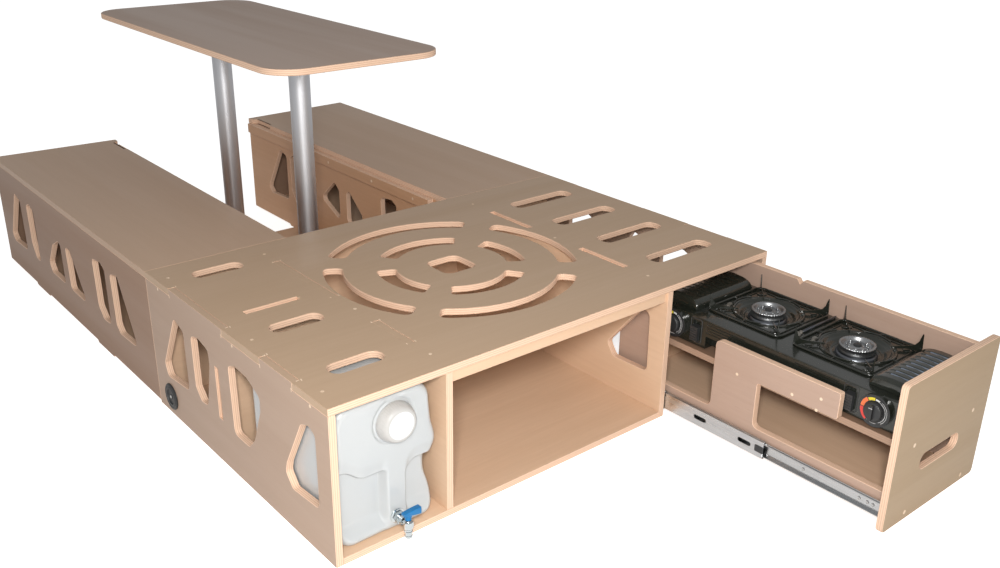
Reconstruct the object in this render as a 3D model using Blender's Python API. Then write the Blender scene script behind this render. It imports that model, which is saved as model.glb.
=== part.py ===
"""A plywood camping box for a small van, set up on its floor.

A main box holds a water canister, an open bay and a pull-out kitchen drawer with a twin
gas stove. Two storage benches stand behind it, with a lift-off table between them.
Lengths are in metres. The origin is on the floor under the middle of the main box, X runs
along its open front from the canister to the drawer, Y runs back into the van, and Z is up.
The drawer is modelled pulled out, as it stands for cooking.
"""

import math
from collections import namedtuple

import bmesh
import bpy
from mathutils import Vector

# Clearance between pieces that touch, and the overrun of every cutting tool
FIT = 0.0003
OVERRUN = 0.010
WELD_DISTANCE = 0.000003

# The plywood sheet that every board is cut from
SHEET = 0.015
CUTOUT_RADIUS = 0.012
FILLET_REACH_SHARE = 0.45
TAB_SINK = 0.0006
DEEP_TAB_SINK = 0.008

# Main box
BOX_WIDTH = 1.190
BOX_DEPTH = 0.765
BOX_HEIGHT = 0.325
DIVIDER_SHARE = 0.2080
PARTITION_SHARE = 0.7122
TANK_WALL_SHARE = 0.5595
RAIL_HEIGHT = 0.024
RAIL_SETBACK = 0.006

# Benches, named for the side of the main box that they continue
BENCH_LENGTH = 1.125
LEFT_BENCH_SHARE = 0.2916
RIGHT_BENCH_SHARE = 0.3059
BENCH_FLOOR_HEIGHT = 0.012
FOOT_HEIGHT = 0.006
FOOT_LENGTH = 0.115
LEDGE_WIDTH = 0.018
LEDGE_HEIGHT = 0.030
LEDGE_NEAR_GAP = 0.060
LEDGE_FAR_GAP = 0.025
LID_TIP_REACH = 0.010
LID_TIP_LENGTH = 0.040
LID_NOTCH_LENGTH = 0.110
LID_NOTCH_DEPTH = 0.008
LID_NOTCH_RADIUS = 0.010

# Vents in the top board: two broken rings round a window, and rows of slots
RING_CENTRE_SHARE = 0.5085
OUTER_RING_SHARE = 0.487
INNER_RING_SHARE = 0.289
RING_SLOT_SHARE = 0.072
WINDOW_SHARE = 0.147
RING_END_RADIUS = 0.015
RING_STEP_DEG = 6.0
OUTER_RING_SPANS_DEG = ((46.0, 134.0), (148.0, 216.0), (228.0, 309.0), (325.0, 391.0))
INNER_RING_SPANS_DEG = ((50.0, 127.0), (156.0, 213.0), (233.0, 306.0), (330.0, 384.0))
LEFT_SLOT_SPAN_SHARES = (0.252, 0.738)
LEFT_SLOT_WIDTH = 0.042
LEFT_SLOT_SHARES = (0.153, 0.434, 0.886)
RIGHT_SLOT_SPAN_SHARES = (0.216, 0.840)
RIGHT_SLOT_WIDTH = 0.048
RIGHT_SLOT_SHARES = (0.170, 0.379, 0.587, 0.800)
SLOT_RADIUS = 0.018

# Tabs of the upright boards, as shares of the box depth, and of the tank wall's width
SIDE_TAB_SHARES = ((0.157, 0.316), (0.516, 0.840))
PARTITION_TAB_SHARES = ((0.179, 0.370), (0.605, 0.799))
WALL_TAB_SHARES = ((0.240, 0.760),)
WALL_SIDE_TAB_LOW_SHARE = 0.345
WALL_SIDE_TAB_HIGH_SHARE = 0.725

# Cut-outs of the upright boards, as shares of the board's length and height
KITE_SHARES = ((0.000, 0.345), (0.143, 0.310), (0.157, 0.403), (0.054, 0.839), (0.000, 0.787))
SLOPED_SLOT_SHARES = ((0.000, 0.694), (0.035, 0.362), (0.072, 0.349), (0.103, 0.426),
                      (0.103, 0.807), (0.059, 0.833), (0.000, 0.800))
WIDE_SHARES = ((0.048, 0.404), (0.081, 0.323), (0.160, 0.323), (0.164, 0.806), (0.128, 0.842),
               (0.065, 0.832), (0.000, 0.760), (0.002, 0.662))
FRONT_SHARES = ((0.000, 0.323), (0.124, 0.300), (0.152, 0.381), (0.144, 0.452), (0.062, 0.807),
                (0.027, 0.840), (0.000, 0.807))
DOOR_SHARES = ((0.000, 0.323), (0.136, 0.316), (0.163, 0.413), (0.031, 0.806), (0.004, 0.774))
LEFT_SIDE_PLACE_SHARES = ((KITE_SHARES, 0.770), (SLOPED_SLOT_SHARES, 0.614),
                          (WIDE_SHARES, 0.331), (FRONT_SHARES, 0.065))
RIGHT_SIDE_PLACE_SHARES = ((WIDE_SHARES, 0.694), (KITE_SHARES, 0.484), (WIDE_SHARES, 0.246),
                           (FRONT_SHARES, 0.065))
PARTITION_PLACE_SHARES = ((DOOR_SHARES, 0.062),)

BENCH_KITE_SHARES = ((0.000, 0.306), (0.101, 0.290), (0.119, 0.345), (0.036, 0.823), (0.000, 0.781))
BENCH_SLOT_SHARES = ((0.000, 0.300), (0.030, 0.310), (0.050, 0.435), (0.050, 0.790),
                     (0.028, 0.823), (0.000, 0.790))
LEAN_RIGHT_SHARES = ((0.000, 0.306), (0.092, 0.310), (0.105, 0.387), (0.058, 0.600), (0.000, 0.703))
LEAN_LEFT_SHARES = ((0.102, 0.310), (0.104, 0.684), (0.078, 0.690), (0.000, 0.300))
TALL_SLOT_SHARES = ((0.002, 0.310), (0.043, 0.300), (0.067, 0.387), (0.069, 0.790),
                    (0.022, 0.813), (0.000, 0.774))
LEAN_TALL_SHARES = ((0.000, 0.313), (0.097, 0.300), (0.112, 0.355), (0.114, 0.774), (0.074, 0.813))
INNER_POINT_SHARES = ((0.000, 0.355), (0.094, 0.513), (0.024, 0.735), (0.000, 0.668))
INNER_WEDGE_SHARES = ((0.084, 0.348), (0.084, 0.742), (0.000, 0.484))
OUTER_BENCH_PLACE_SHARES = ((BENCH_KITE_SHARES, 0.820), (BENCH_SLOT_SHARES, 0.716),
                            (LEAN_RIGHT_SHARES, 0.534), (LEAN_LEFT_SHARES, 0.391),
                            (TALL_SLOT_SHARES, 0.243), (LEAN_TALL_SHARES, 0.095))
INNER_BENCH_PLACE_SHARES = ((BENCH_KITE_SHARES, 0.779), (BENCH_SLOT_SHARES, 0.706),
                            (INNER_POINT_SHARES, 0.491), (INNER_WEDGE_SHARES, 0.368),
                            (TALL_SLOT_SHARES, 0.214), (LEAN_TALL_SHARES, 0.058))
FOOT_SHARES = (0.253, 0.682)

# Table
TABLE_HEIGHT = 0.735
TABLE_WIDTH = 0.470
TABLE_LENGTH = 1.090
TABLE_CORNER_RADIUS = 0.080
TABLE_PLACE_SHARE = 0.458
TABLE_DISTANCE = 0.470
LEG_DIAMETER = 0.054
LEG_END_DIAMETER = 0.048
LEG_SPACING = 0.444
FLOOR_PLATE_THICKNESS = 0.012
FLOOR_PLATE_MARGIN = 0.061
SOCKET_FLANGE_DIAMETER = 0.150
SOCKET_FLANGE_THICKNESS = 0.004
SOCKET_HUB_DIAMETER = 0.062
SOCKET_HUB_HEIGHT = 0.032

# Round inlet low on the left side
INLET_SHARE = 0.906
INLET_PLACE_Z = 0.046
INLET_DIAMETER = 0.062
INLET_NECK_DIAMETER = 0.046
INLET_FLANGE_THICKNESS = 0.004
INLET_DISH_DIAMETER = 0.036
INLET_DISH_DEPTH = 0.003
INLET_LENGTH = 0.030

# Drawer, pulled out by its travel
DRAWER_TRAVEL = 0.546
DRAWER_FRONT_GAP = 0.005
DRAWER_FRONT_LIFT = 0.004
DRAWER_FRONT_OVERLAP = 0.0135
DRAWER_FRONT_RADIUS = 0.010
DRAWER_SIDE_LIFT = 0.016
DRAWER_HIGH_SIDE_GAP = 0.0057
DRAWER_LOW_SIDE_RISE = 0.070
DRAWER_BAND_TOP = 0.074
DRAWER_ARM_RISE = 0.012
DRAWER_FLOOR_LIFT = 0.020
ARM_FRONT_PLACE = 0.127
POST_FRONT_PLACE = 0.316
ARM_RADIUS = 0.005
POST_BACK_PLACE = 0.430
REAR_POST_LENGTH = 0.110
NOTCH_PLACE = 0.413
NOTCH_DEPTH = 0.010
NOTCH_WIDTH = 0.016
HANDLE_LENGTH = 0.140
HANDLE_HEIGHT = 0.034
HANDLE_LIFT = 0.118

# Ball-bearing slides, each a nest of three channels
SLIDE_LENGTH = 0.550
SLIDE_SETBACK = 0.002
SLIDE_CENTRE_LIFT = 0.0385
SLIDE_SPACE = 0.0130
SLIDE_GAUGE = 0.0012
CABINET_CHANNEL_HEIGHT = 0.045
MIDDLE_CHANNEL_HEIGHT = 0.0385
DRAWER_CHANNEL_HEIGHT = 0.030
CHANNEL_DEPTH = 0.0090
CHANNEL_RUNNING_GAP = 0.0008
RACE_PLACE = 0.0030
RACE_WIDTH = 0.0030
SLIDE_HOLE_LENGTH = 0.034
SLIDE_HOLE_HEIGHT = 0.010
SLIDE_HOLE_SHARES = (0.088, 0.307, 0.693, 0.912)

# Stove
STOVE_LENGTH = 0.620
STOVE_SETBACK = 0.004
STOVE_BACK_GAP = 0.068
STOVE_ARM_GAP = 0.0109
STOVE_HEADROOM = 0.0191
STOVE_BODY_HEIGHT = 0.068
STOVE_FOOT_HEIGHT = 0.004
STOVE_FOOT_DIAMETER = 0.024
STOVE_FOOT_INSET = 0.034
STOVE_CORNER_RADIUS = 0.014
STOVE_EDGE_BEVEL = 0.004
STOVE_WALL_GAP = 0.005
UNDERCUT_END_GAP = 0.027
UNDERCUT_DEPTH = 0.026
UNDERCUT_HEIGHT = 0.030
FASCIA_GROOVE_COUNT = 4
FASCIA_GROOVE_WIDTH = 0.0022
FASCIA_GROOVE_DEPTH = 0.0015
FASCIA_GROOVE_PITCH = 0.0066
FASCIA_GROOVE_DROP = 0.010
FASCIA_BARE_HALF = 0.062
FASCIA_LATCH_GAP = 0.018
DECK_GROOVE_WIDTH = 0.003
DECK_GROOVE_DEPTH = 0.0012
DECK_GROOVE_MARGIN = 0.004
DECK_GROOVE_RADIUS = 0.012
BURNER_PLACE_SHARE = 0.514
BURNER_INSET_SHARE = 0.592
BURNER_CELL_SHARE = 0.900
BOWL_SHARE = 0.694
BOWL_DEPTH = 0.016
BOWL_RIM_WIDTH = 0.005
BOWL_RIM_DEPTH = 0.0018
BURNER_BASE_SHARE = 0.398
BURNER_HEAD_SHARE = 0.352
BURNER_DISH_SHARE = 0.268
BURNER_HUB_SHARE = 0.111
BURNER_HEIGHT = 0.026
BURNER_RIM_HEIGHT = 0.008
BURNER_DISH_DEPTH = 0.009
BURNER_HUB_RISE = 0.005
PORT_BARS = 5
PORT_WIDTH = 0.0034
PORT_DEPTH = 0.0030
KNOB_END_INSET = 0.060
KNOB_DIAMETER = 0.040
KNOB_LENGTH = 0.016
KNOB_LIFT = 0.036
KNOB_FACE_SHARE = 0.90
KNOB_RIM_SHARE = 0.80
KNOB_GRIP_WIDTH = 0.008
KNOB_GRIP_DEPTH = 0.007
KNOB_GRIP_SHARE = 0.84
KNOB_SPINDLE_DIAMETER = 0.007
KNOB_SPINDLE_LENGTH = 0.010
BOSS_DIAMETER = 0.066
BOSS_REACH = 0.010
BOSS_SEAT = 0.020
LATCH_END_INSET = 0.118
LATCH_WIDTH = 0.020
LATCH_HEIGHT = 0.034
LATCH_REACH = 0.010
LATCH_TRAVEL = 0.012
LATCH_SLOT_DEPTH = 0.008
LATCH_GROOVE_COUNT = 4
LATCH_GROOVE_WIDTH = 0.002
LATCH_GROOVE_DEPTH = 0.0012
BAY_LENGTH = 0.088
BAY_WALL = 0.025
BAY_SINK = 0.056
BAY_END_GAP = 0.006
COVER_RISE = 0.026
COVER_THICKNESS = 0.003
COVER_STEPS = 10
COVER_OVERLAP = 0.003
COVER_EDGE_BEVEL = 0.005
LOUVRE_COUNT = 9
LOUVRE_WIDTH = 0.007
LOUVRE_DEPTH = 0.0014
LOUVRE_END_GAP = 0.022
SUPPORT_SHARE = 0.907
SUPPORT_BAR = 0.006
SUPPORT_BAR_THICKNESS = 0.004
SUPPORT_CORNER_RADIUS = 0.020
PRONG_LENGTH = 0.062
PRONG_HEIGHT = 0.038
PRONG_TIP = 0.004
PRONG_THICKNESS = 0.003
PRONG_INSET = 0.001
PRONG_ROOT_HEIGHT = 0.007
PRONG_SHOULDER_REACH = 0.012
PRONG_SHOULDER_HEIGHT = 0.014

# Water canister and its tap
CANISTER_INNER_GAP = 0.0135
CANISTER_HEADROOM = 0.0061
CANISTER_DEPTH = 0.314
CANISTER_SETBACK = 0.012
CANISTER_SIDE_GAP = 0.003
CANISTER_WAIST = 0.015
CANISTER_CORNER_RADIUS = 0.030
CANISTER_EDGE = 0.014
FLANK_SHARES = ((0.000, 0.15), (0.110, 0.0), (0.200, 0.35), (0.300, 1.0), (0.430, 1.0), (0.515, 0.0),
                (0.600, 0.0), (0.700, 0.6), (0.850, 0.9), (1.000, 1.1))
RECESS_DEPTH = 0.020
BROW_SHARE = 0.474
BROW_HEIGHT = 0.009
BROW_DIP = 0.015
BROW_DIP_LENGTH = 0.028
BROW_RISE = 0.025
BROW_RISE_LENGTH = 0.045
RECESS_FOOT_SHARES = (0.030, 0.150)
COLUMN_WIDTH = 0.034
COLUMN_SHIFT = 0.016
RECESS_EDGE = 0.014
SKIN_EDGE_STEPS = 2
SKIN_ACROSS_STEPS = (3, 2, 3)
SKIN_UP_STEPS = (8, 8)
FLAT_ANGLE_DEG = 0.2
CAP_LIFT_SHARE = 0.8047
CAP_SHIFT = 0.014
CAP_DIAMETER = 0.080
CAP_FACE_DIAMETER = 0.056
CAP_LENGTH = 0.024
NECK_DIAMETER = 0.052
NECK_LENGTH = 0.008
TAP_LIFT = 0.030
TAP_SHIFT = 0.014
TAP_FLANGE_DIAMETER = 0.030
TAP_FLANGE_THICKNESS = 0.005
TAP_STEM_DIAMETER = 0.014
TAP_NUT_DIAMETER = 0.024
TAP_NUT_LENGTH = 0.008
TAP_REACH = 0.036
TAP_BARREL_DIAMETER = 0.020
TAP_BARREL_RISE = 0.010
TAP_COLLAR_DROP = 0.013
TAP_SPOUT_DIAMETER = 0.014
TAP_SPOUT_DROP = 0.028
TAP_BORE_DIAMETER = 0.009
TAP_BORE_DEPTH = 0.016
LEVER_LENGTH = 0.038
LEVER_WIDTH = 0.012
LEVER_HEIGHT = 0.014
LEVER_STEM_DIAMETER = 0.008
LEVER_STEM_LENGTH = 0.006
LEVER_BACK_SHARE = 0.30
LEVER_SIDE_SHARES = ((0.00, 0.62), (0.26, 0.50), (0.34, 0.00), (0.58, 0.00), (0.68, 0.34),
                     (0.96, 0.50), (1.00, 0.96), (0.94, 1.00), (0.06, 0.86), (0.00, 0.80))

# Facets of round shapes
FILLET_STEPS = 3
ROUND_FACETS = 32
MIDDLE_ROUND_FACETS = 24
SMALL_ROUND_FACETS = 20
TINY_ROUND_FACETS = 12
NUT_SIDES = 6

# Places that follow from the sizes
LEFT = -BOX_WIDTH / 2
RIGHT = BOX_WIDTH / 2
FRONT = -BOX_DEPTH / 2
BACK = BOX_DEPTH / 2
WALL_HEIGHT = BOX_HEIGHT - SHEET - FIT
BENCH_FRONT = BACK + FIT
BENCH_RUN = BENCH_LENGTH - FIT
LEFT_BENCH_WIDTH = LEFT_BENCH_SHARE * BOX_WIDTH
RIGHT_BENCH_WIDTH = RIGHT_BENCH_SHARE * BOX_WIDTH
DIVIDER_PLACE = DIVIDER_SHARE * BOX_WIDTH
PARTITION_PLACE = PARTITION_SHARE * BOX_WIDTH
TANK_WALL_PLACE = TANK_WALL_SHARE * BOX_DEPTH
INLET_PLACE = INLET_SHARE * BOX_DEPTH
PARTITION_RIGHT = LEFT + PARTITION_PLACE + SHEET
BAY_RIGHT = RIGHT - SHEET
CANISTER_BAY_WIDTH = DIVIDER_PLACE - SHEET
OPEN_BAY_WIDTH = PARTITION_PLACE - DIVIDER_PLACE - SHEET
DRAWER_BAY_WIDTH = BAY_RIGHT - PARTITION_RIGHT
RING_SPACE = min(OPEN_BAY_WIDTH, BOX_DEPTH)
RING_CENTRE_X = DIVIDER_PLACE + SHEET + OPEN_BAY_WIDTH / 2
RING_CENTRE_Y = RING_CENTRE_SHARE * BOX_DEPTH
TABLE_X = LEFT + TABLE_PLACE_SHARE * BOX_WIDTH
TABLE_Y = BACK + TABLE_DISTANCE
FLOOR_PLATE_LENGTH = TABLE_DISTANCE + (LEG_SPACING + SOCKET_FLANGE_DIAMETER) / 2 + FLOOR_PLATE_MARGIN
DRAWER_LEFT = PARTITION_RIGHT + SLIDE_SPACE
DRAWER_RIGHT = BAY_RIGHT - SLIDE_SPACE
DRAWER_WIDTH = DRAWER_RIGHT - DRAWER_LEFT
DRAWER_MOUTH = FRONT - FIT - DRAWER_TRAVEL
DRAWER_INNER_LEFT = DRAWER_LEFT + SHEET + FIT
DRAWER_INNER_WIDTH = DRAWER_WIDTH - 2 * (SHEET + FIT)
DRAWER_LENGTH = STOVE_SETBACK + STOVE_LENGTH + STOVE_BACK_GAP + SHEET
DRAWER_FRONT_HEIGHT = BOX_HEIGHT - DRAWER_FRONT_LIFT - DRAWER_FRONT_GAP
DRAWER_HIGH_SIDE_TOP = WALL_HEIGHT - DRAWER_HIGH_SIDE_GAP
SHELF_TOP = WALL_HEIGHT - STOVE_HEADROOM - PRONG_HEIGHT - STOVE_BODY_HEIGHT - STOVE_FOOT_HEIGHT - 2 * FIT
SHELF_LIFT = SHELF_TOP - SHEET
DRAWER_LOW_SIDE_TOP = SHELF_LIFT + DRAWER_LOW_SIDE_RISE
DRAWER_ARM_BOTTOM = SHELF_LIFT + DRAWER_ARM_RISE
STOVE_FRONT = DRAWER_INNER_LEFT + STOVE_ARM_GAP
STOVE_DEPTH = DRAWER_INNER_WIDTH - STOVE_ARM_GAP - STOVE_WALL_GAP
STOVE_NEAR = DRAWER_MOUTH + STOVE_SETBACK
STOVE_MIDDLE = STOVE_NEAR + STOVE_LENGTH / 2
STOVE_BOTTOM = SHELF_TOP + FIT + STOVE_FOOT_HEIGHT
STOVE_TOP = STOVE_BOTTOM + STOVE_BODY_HEIGHT
BAY_DEPTH = STOVE_DEPTH - 2 * BAY_WALL
BURNER_SPACE = STOVE_LENGTH / 2 - BAY_END_GAP - BAY_LENGTH
BURNER_CELL = min(BURNER_SPACE, BURNER_CELL_SHARE * STOVE_DEPTH)
BURNER_X = STOVE_FRONT + BURNER_INSET_SHARE * STOVE_DEPTH
SUPPORT_SIZE = SUPPORT_SHARE * BURNER_CELL
CANISTER_LEFT = LEFT + SHEET + CANISTER_SIDE_GAP
CANISTER_WIDTH = CANISTER_BAY_WIDTH - CANISTER_SIDE_GAP - CANISTER_INNER_GAP
CANISTER_BOTTOM = SHEET + FIT
CANISTER_HEIGHT = WALL_HEIGHT - CANISTER_BOTTOM - CANISTER_HEADROOM
CAP_LIFT = CAP_LIFT_SHARE * CANISTER_HEIGHT
CANISTER_FACE = FRONT + CANISTER_SETBACK
CANISTER_MIDDLE = CANISTER_LEFT + CANISTER_WIDTH / 2

Finish = namedtuple("Finish", "colour roughness metallic")
BIRCH = Finish((0.74, 0.55, 0.37, 1.0), 0.55, 0.0)
SATIN_BIRCH = Finish((0.56, 0.44, 0.31, 1.0), 0.42, 0.0)
ALUMINIUM = Finish((0.62, 0.63, 0.64, 1.0), 0.35, 1.0)
ZINC = Finish((0.66, 0.67, 0.68, 1.0), 0.30, 1.0)
BLACK_ENAMEL = Finish((0.02, 0.02, 0.022, 1.0), 0.30, 0.0)
BLACK_PLASTIC = Finish((0.03, 0.03, 0.032, 1.0), 0.45, 0.0)
CHROME = Finish((0.80, 0.80, 0.80, 1.0), 0.12, 1.0)
CLOUDY_PLASTIC = Finish((0.86, 0.89, 0.90, 1.0), 0.38, 0.0)
WHITE_PLASTIC = Finish((0.90, 0.91, 0.90, 1.0), 0.40, 0.0)
BLUE_PLASTIC = Finish((0.02, 0.16, 0.60, 1.0), 0.35, 0.0)


# Scene, finishes and objects

def clear_scene():
    """Remove every object that the scene starts with."""
    for obj in list(bpy.data.objects):
        bpy.data.objects.remove(obj, do_unlink=True)


def dress(obj, finish):
    """Give an object its own material."""
    material = bpy.data.materials.new(obj.name + "_finish")
    material.use_nodes = True
    shader = material.node_tree.nodes["Principled BSDF"]
    shader.inputs["Base Color"].default_value = finish.colour
    shader.inputs["Roughness"].default_value = finish.roughness
    shader.inputs["Metallic"].default_value = finish.metallic
    material.diffuse_color = finish.colour
    obj.data.materials.append(material)


def add_object(name, bm, place, finish=None, parent=None, smooth=False):
    """Turn a bmesh into a named object at a place given in world coordinates."""
    bm.normal_update()
    bmesh.ops.recalc_face_normals(bm, faces=bm.faces[:])
    mesh = bpy.data.meshes.new(name)
    bm.to_mesh(mesh)
    bm.free()
    if smooth:
        mesh.shade_smooth()
        mesh.set_sharp_from_angle(angle=math.radians(35.0))
    obj = bpy.data.objects.new(name, mesh)
    bpy.context.scene.collection.objects.link(obj)
    if parent is None:
        obj.location = place
    else:
        obj.parent = parent
        obj.location = Vector(place) - Vector(parent.location)
    if finish is not None:
        dress(obj, finish)
    return obj


def add_axis(name, place):
    """Add an empty on a joint axis, to carry the pieces that move about it."""
    empty = bpy.data.objects.new(name, None)
    empty.empty_display_size = SHEET
    empty.location = place
    bpy.context.scene.collection.objects.link(empty)
    return empty


def tool(name, bm, place):
    """Add a hidden object that a Boolean uses."""
    obj = add_object(name, bm, place)
    obj.hide_render = True
    obj.display_type = "WIRE"
    return obj


def combine(obj, other, operation):
    """Cut or join an object with a hidden tool."""
    modifier = obj.modifiers.new(operation.title() + "_" + other.name, "BOOLEAN")
    modifier.operation = operation
    modifier.solver = "EXACT"
    modifier.object = other


def soften(obj, width, segments=2):
    """Round the sharp edges of an object."""
    modifier = obj.modifiers.new("Soft_edges", "BEVEL")
    modifier.width = width
    modifier.segments = segments
    modifier.limit_method = "ANGLE"
    modifier.angle_limit = math.radians(50.0)


# Outlines

def rectangle(width, height, left=0.0, bottom=0.0):
    """Corners of a rectangle, anticlockwise."""
    return [(left, bottom), (left + width, bottom), (left + width, bottom + height), (left, bottom + height)]


def fillet(points, radius, steps=FILLET_STEPS):
    """Round every corner of an outline with an arc, as far as its edges allow."""
    rounded = []
    count = len(points)
    for index, point in enumerate(points):
        corner = Vector(point)
        before = Vector(points[index - 1]) - corner
        after = Vector(points[(index + 1) % count]) - corner
        angle = before.angle(after)
        if angle > math.radians(165.0):
            rounded.append(point)
            continue
        longest = FILLET_REACH_SHARE * min(before.length, after.length)
        reach = min(radius / math.tan(angle / 2), longest)
        arc_radius = reach * math.tan(angle / 2)
        middle = (before.normalized() + after.normalized()).normalized()
        centre = corner + middle * (arc_radius / math.sin(angle / 2))
        first = corner + before.normalized() * reach - centre
        last = corner + after.normalized() * reach - centre
        sweep = math.atan2(first.x * last.y - first.y * last.x, first.dot(last))
        for step in range(steps + 1):
            turn = sweep * step / steps
            spot = Vector((first.x * math.cos(turn) - first.y * math.sin(turn),
                           first.x * math.sin(turn) + first.y * math.cos(turn)))
            rounded.append(tuple(centre + spot))
    return rounded


def scaled(shares, place_share, length, height):
    """Turn an outline of shares into sizes, moved along the board by its own share."""
    return [((place_share + along) * length, up * height) for along, up in shares]


def board_cutouts(places, length, height):
    """Rounded cut-outs of an upright board."""
    return [fillet(scaled(shares, place, length, height), CUTOUT_RADIUS) for shares, place in places]


def arc_points(centre, radius, angles):
    """Points round a centre at the given angles."""
    return [(centre[0] + radius * math.cos(a), centre[1] + radius * math.sin(a)) for a in angles]


def arc_slot(centre, outer_radius, width, start_deg, end_deg):
    """A curved slot with rounded ends, as one closed outline."""
    steps = max(2, round((end_deg - start_deg) / RING_STEP_DEG))
    angles = [math.radians(start_deg + (end_deg - start_deg) * step / steps) for step in range(steps + 1)]
    inner_radius = outer_radius - width
    return fillet(arc_points(centre, outer_radius, angles) + arc_points(centre, inner_radius, angles[::-1]),
                  RING_END_RADIUS)


def tab_spans(shares, length):
    """Start and end of each tab along a board."""
    return [(start * length, end * length) for start, end in shares]


def wall_outline(length, height, tabs=(), rise=0.0):
    """Outline of an upright board whose tabs rise above its top edge."""
    points = [(0.0, 0.0), (length, 0.0), (length, height)]
    for start, end in sorted(tabs, reverse=True):
        points += [(end, height), (end, height + rise), (start, height + rise), (start, height)]
    points.append((0.0, height))
    return points


# Solids

FACINGS = {
    "flat": lambda u, v, w: (u, v, w),
    "side": lambda u, v, w: (w, u, v),
    "cross": lambda u, v, w: (u, w, v),
}


def plate(outline, holes, thickness, facing):
    """Fill an outline with its holes and extrude it through the thickness."""
    bm = bmesh.new()
    edges = []
    for loop in [outline] + list(holes):
        verts = [bm.verts.new((u, v, 0.0)) for u, v in loop]
        edges += [bm.edges.new((verts[i - 1], verts[i])) for i in range(len(verts))]
    bmesh.ops.triangle_fill(bm, edges=edges, use_beauty=True, use_dissolve=False)
    lifted = bmesh.ops.extrude_face_region(bm, geom=bm.faces[:])
    moved = [item for item in lifted["geom"] if isinstance(item, bmesh.types.BMVert)]
    bmesh.ops.translate(bm, verts=moved, vec=(0.0, 0.0, thickness))
    turn = FACINGS[facing]
    for vert in bm.verts:
        vert.co = turn(*vert.co)
    return bm


def turned(profile, axis="Z", facets=ROUND_FACETS):
    """Revolve a profile of (radius, height) points that starts and ends on its axis."""
    bm = bmesh.new()
    verts = [bm.verts.new((radius, 0.0, height)) for radius, height in profile]
    edges = [bm.edges.new((verts[i], verts[i + 1])) for i in range(len(verts) - 1)]
    bmesh.ops.spin(bm, geom=verts + edges, cent=(0.0, 0.0, 0.0), axis=(0.0, 0.0, 1.0),
                   angle=math.tau, steps=facets, use_merge=True)
    bmesh.ops.remove_doubles(bm, verts=bm.verts[:], dist=WELD_DISTANCE)
    if axis == "X":
        for vert in bm.verts:
            x, y, z = vert.co
            vert.co = (z, y, -x)
    if axis == "Y":
        for vert in bm.verts:
            x, y, z = vert.co
            vert.co = (x, z, -y)
    return bm


def rod(diameter, low, high):
    """Profile of a plain rod."""
    return [(0.0, low), (diameter / 2, low), (diameter / 2, high), (0.0, high)]


def block(width, depth, height):
    """A plain block with its near left lower corner at the origin."""
    return plate(rectangle(width, depth), (), height, "flat")


# Main box

def build_base():
    """Floor board of the canister bay and the open bay."""
    width = PARTITION_PLACE - SHEET - 2 * FIT
    bm = plate(rectangle(width, BOX_DEPTH), (), SHEET, "flat")
    add_object("box_base", bm, (LEFT + SHEET + FIT, FRONT, 0.0), BIRCH)


def inlet_hole():
    """Round hole for the inlet's neck."""
    radius = INLET_NECK_DIAMETER / 2 + FIT
    angles = [math.tau * step / SMALL_ROUND_FACETS for step in range(SMALL_ROUND_FACETS)]
    return [(INLET_PLACE + radius * math.cos(a), INLET_PLACE_Z + radius * math.sin(a)) for a in angles]


def wall_mortise():
    """Upright slit that the tank wall's side tab passes through."""
    low = WALL_SIDE_TAB_LOW_SHARE * WALL_HEIGHT
    high = WALL_SIDE_TAB_HIGH_SHARE * WALL_HEIGHT
    return rectangle(SHEET + 2 * FIT, high - low + 2 * FIT, TANK_WALL_PLACE - FIT, low - FIT)


def build_sides():
    """The two outer sides, tabbed into the top board."""
    tabs = tab_spans(SIDE_TAB_SHARES, BOX_DEPTH)
    outline = wall_outline(BOX_DEPTH, WALL_HEIGHT, tabs, SHEET + FIT - TAB_SINK)
    left_holes = board_cutouts(LEFT_SIDE_PLACE_SHARES, BOX_DEPTH, WALL_HEIGHT)
    left_holes += [inlet_hole(), wall_mortise()]
    right_holes = board_cutouts(RIGHT_SIDE_PLACE_SHARES, BOX_DEPTH, WALL_HEIGHT)
    add_object("box_left_side", plate(outline, left_holes, SHEET, "side"), (LEFT, FRONT, 0.0), BIRCH)
    add_object("box_right_side", plate(outline, right_holes, SHEET, "side"), (BAY_RIGHT, FRONT, 0.0), BIRCH)


def build_back():
    """Back board of the whole box."""
    outline = rectangle(BOX_WIDTH - 2 * (SHEET + FIT), WALL_HEIGHT - SHEET - FIT)
    place = (LEFT + SHEET + FIT, BACK - SHEET, SHEET + FIT)
    add_object("box_back", plate(outline, (), SHEET, "cross"), place, BIRCH)


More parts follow.
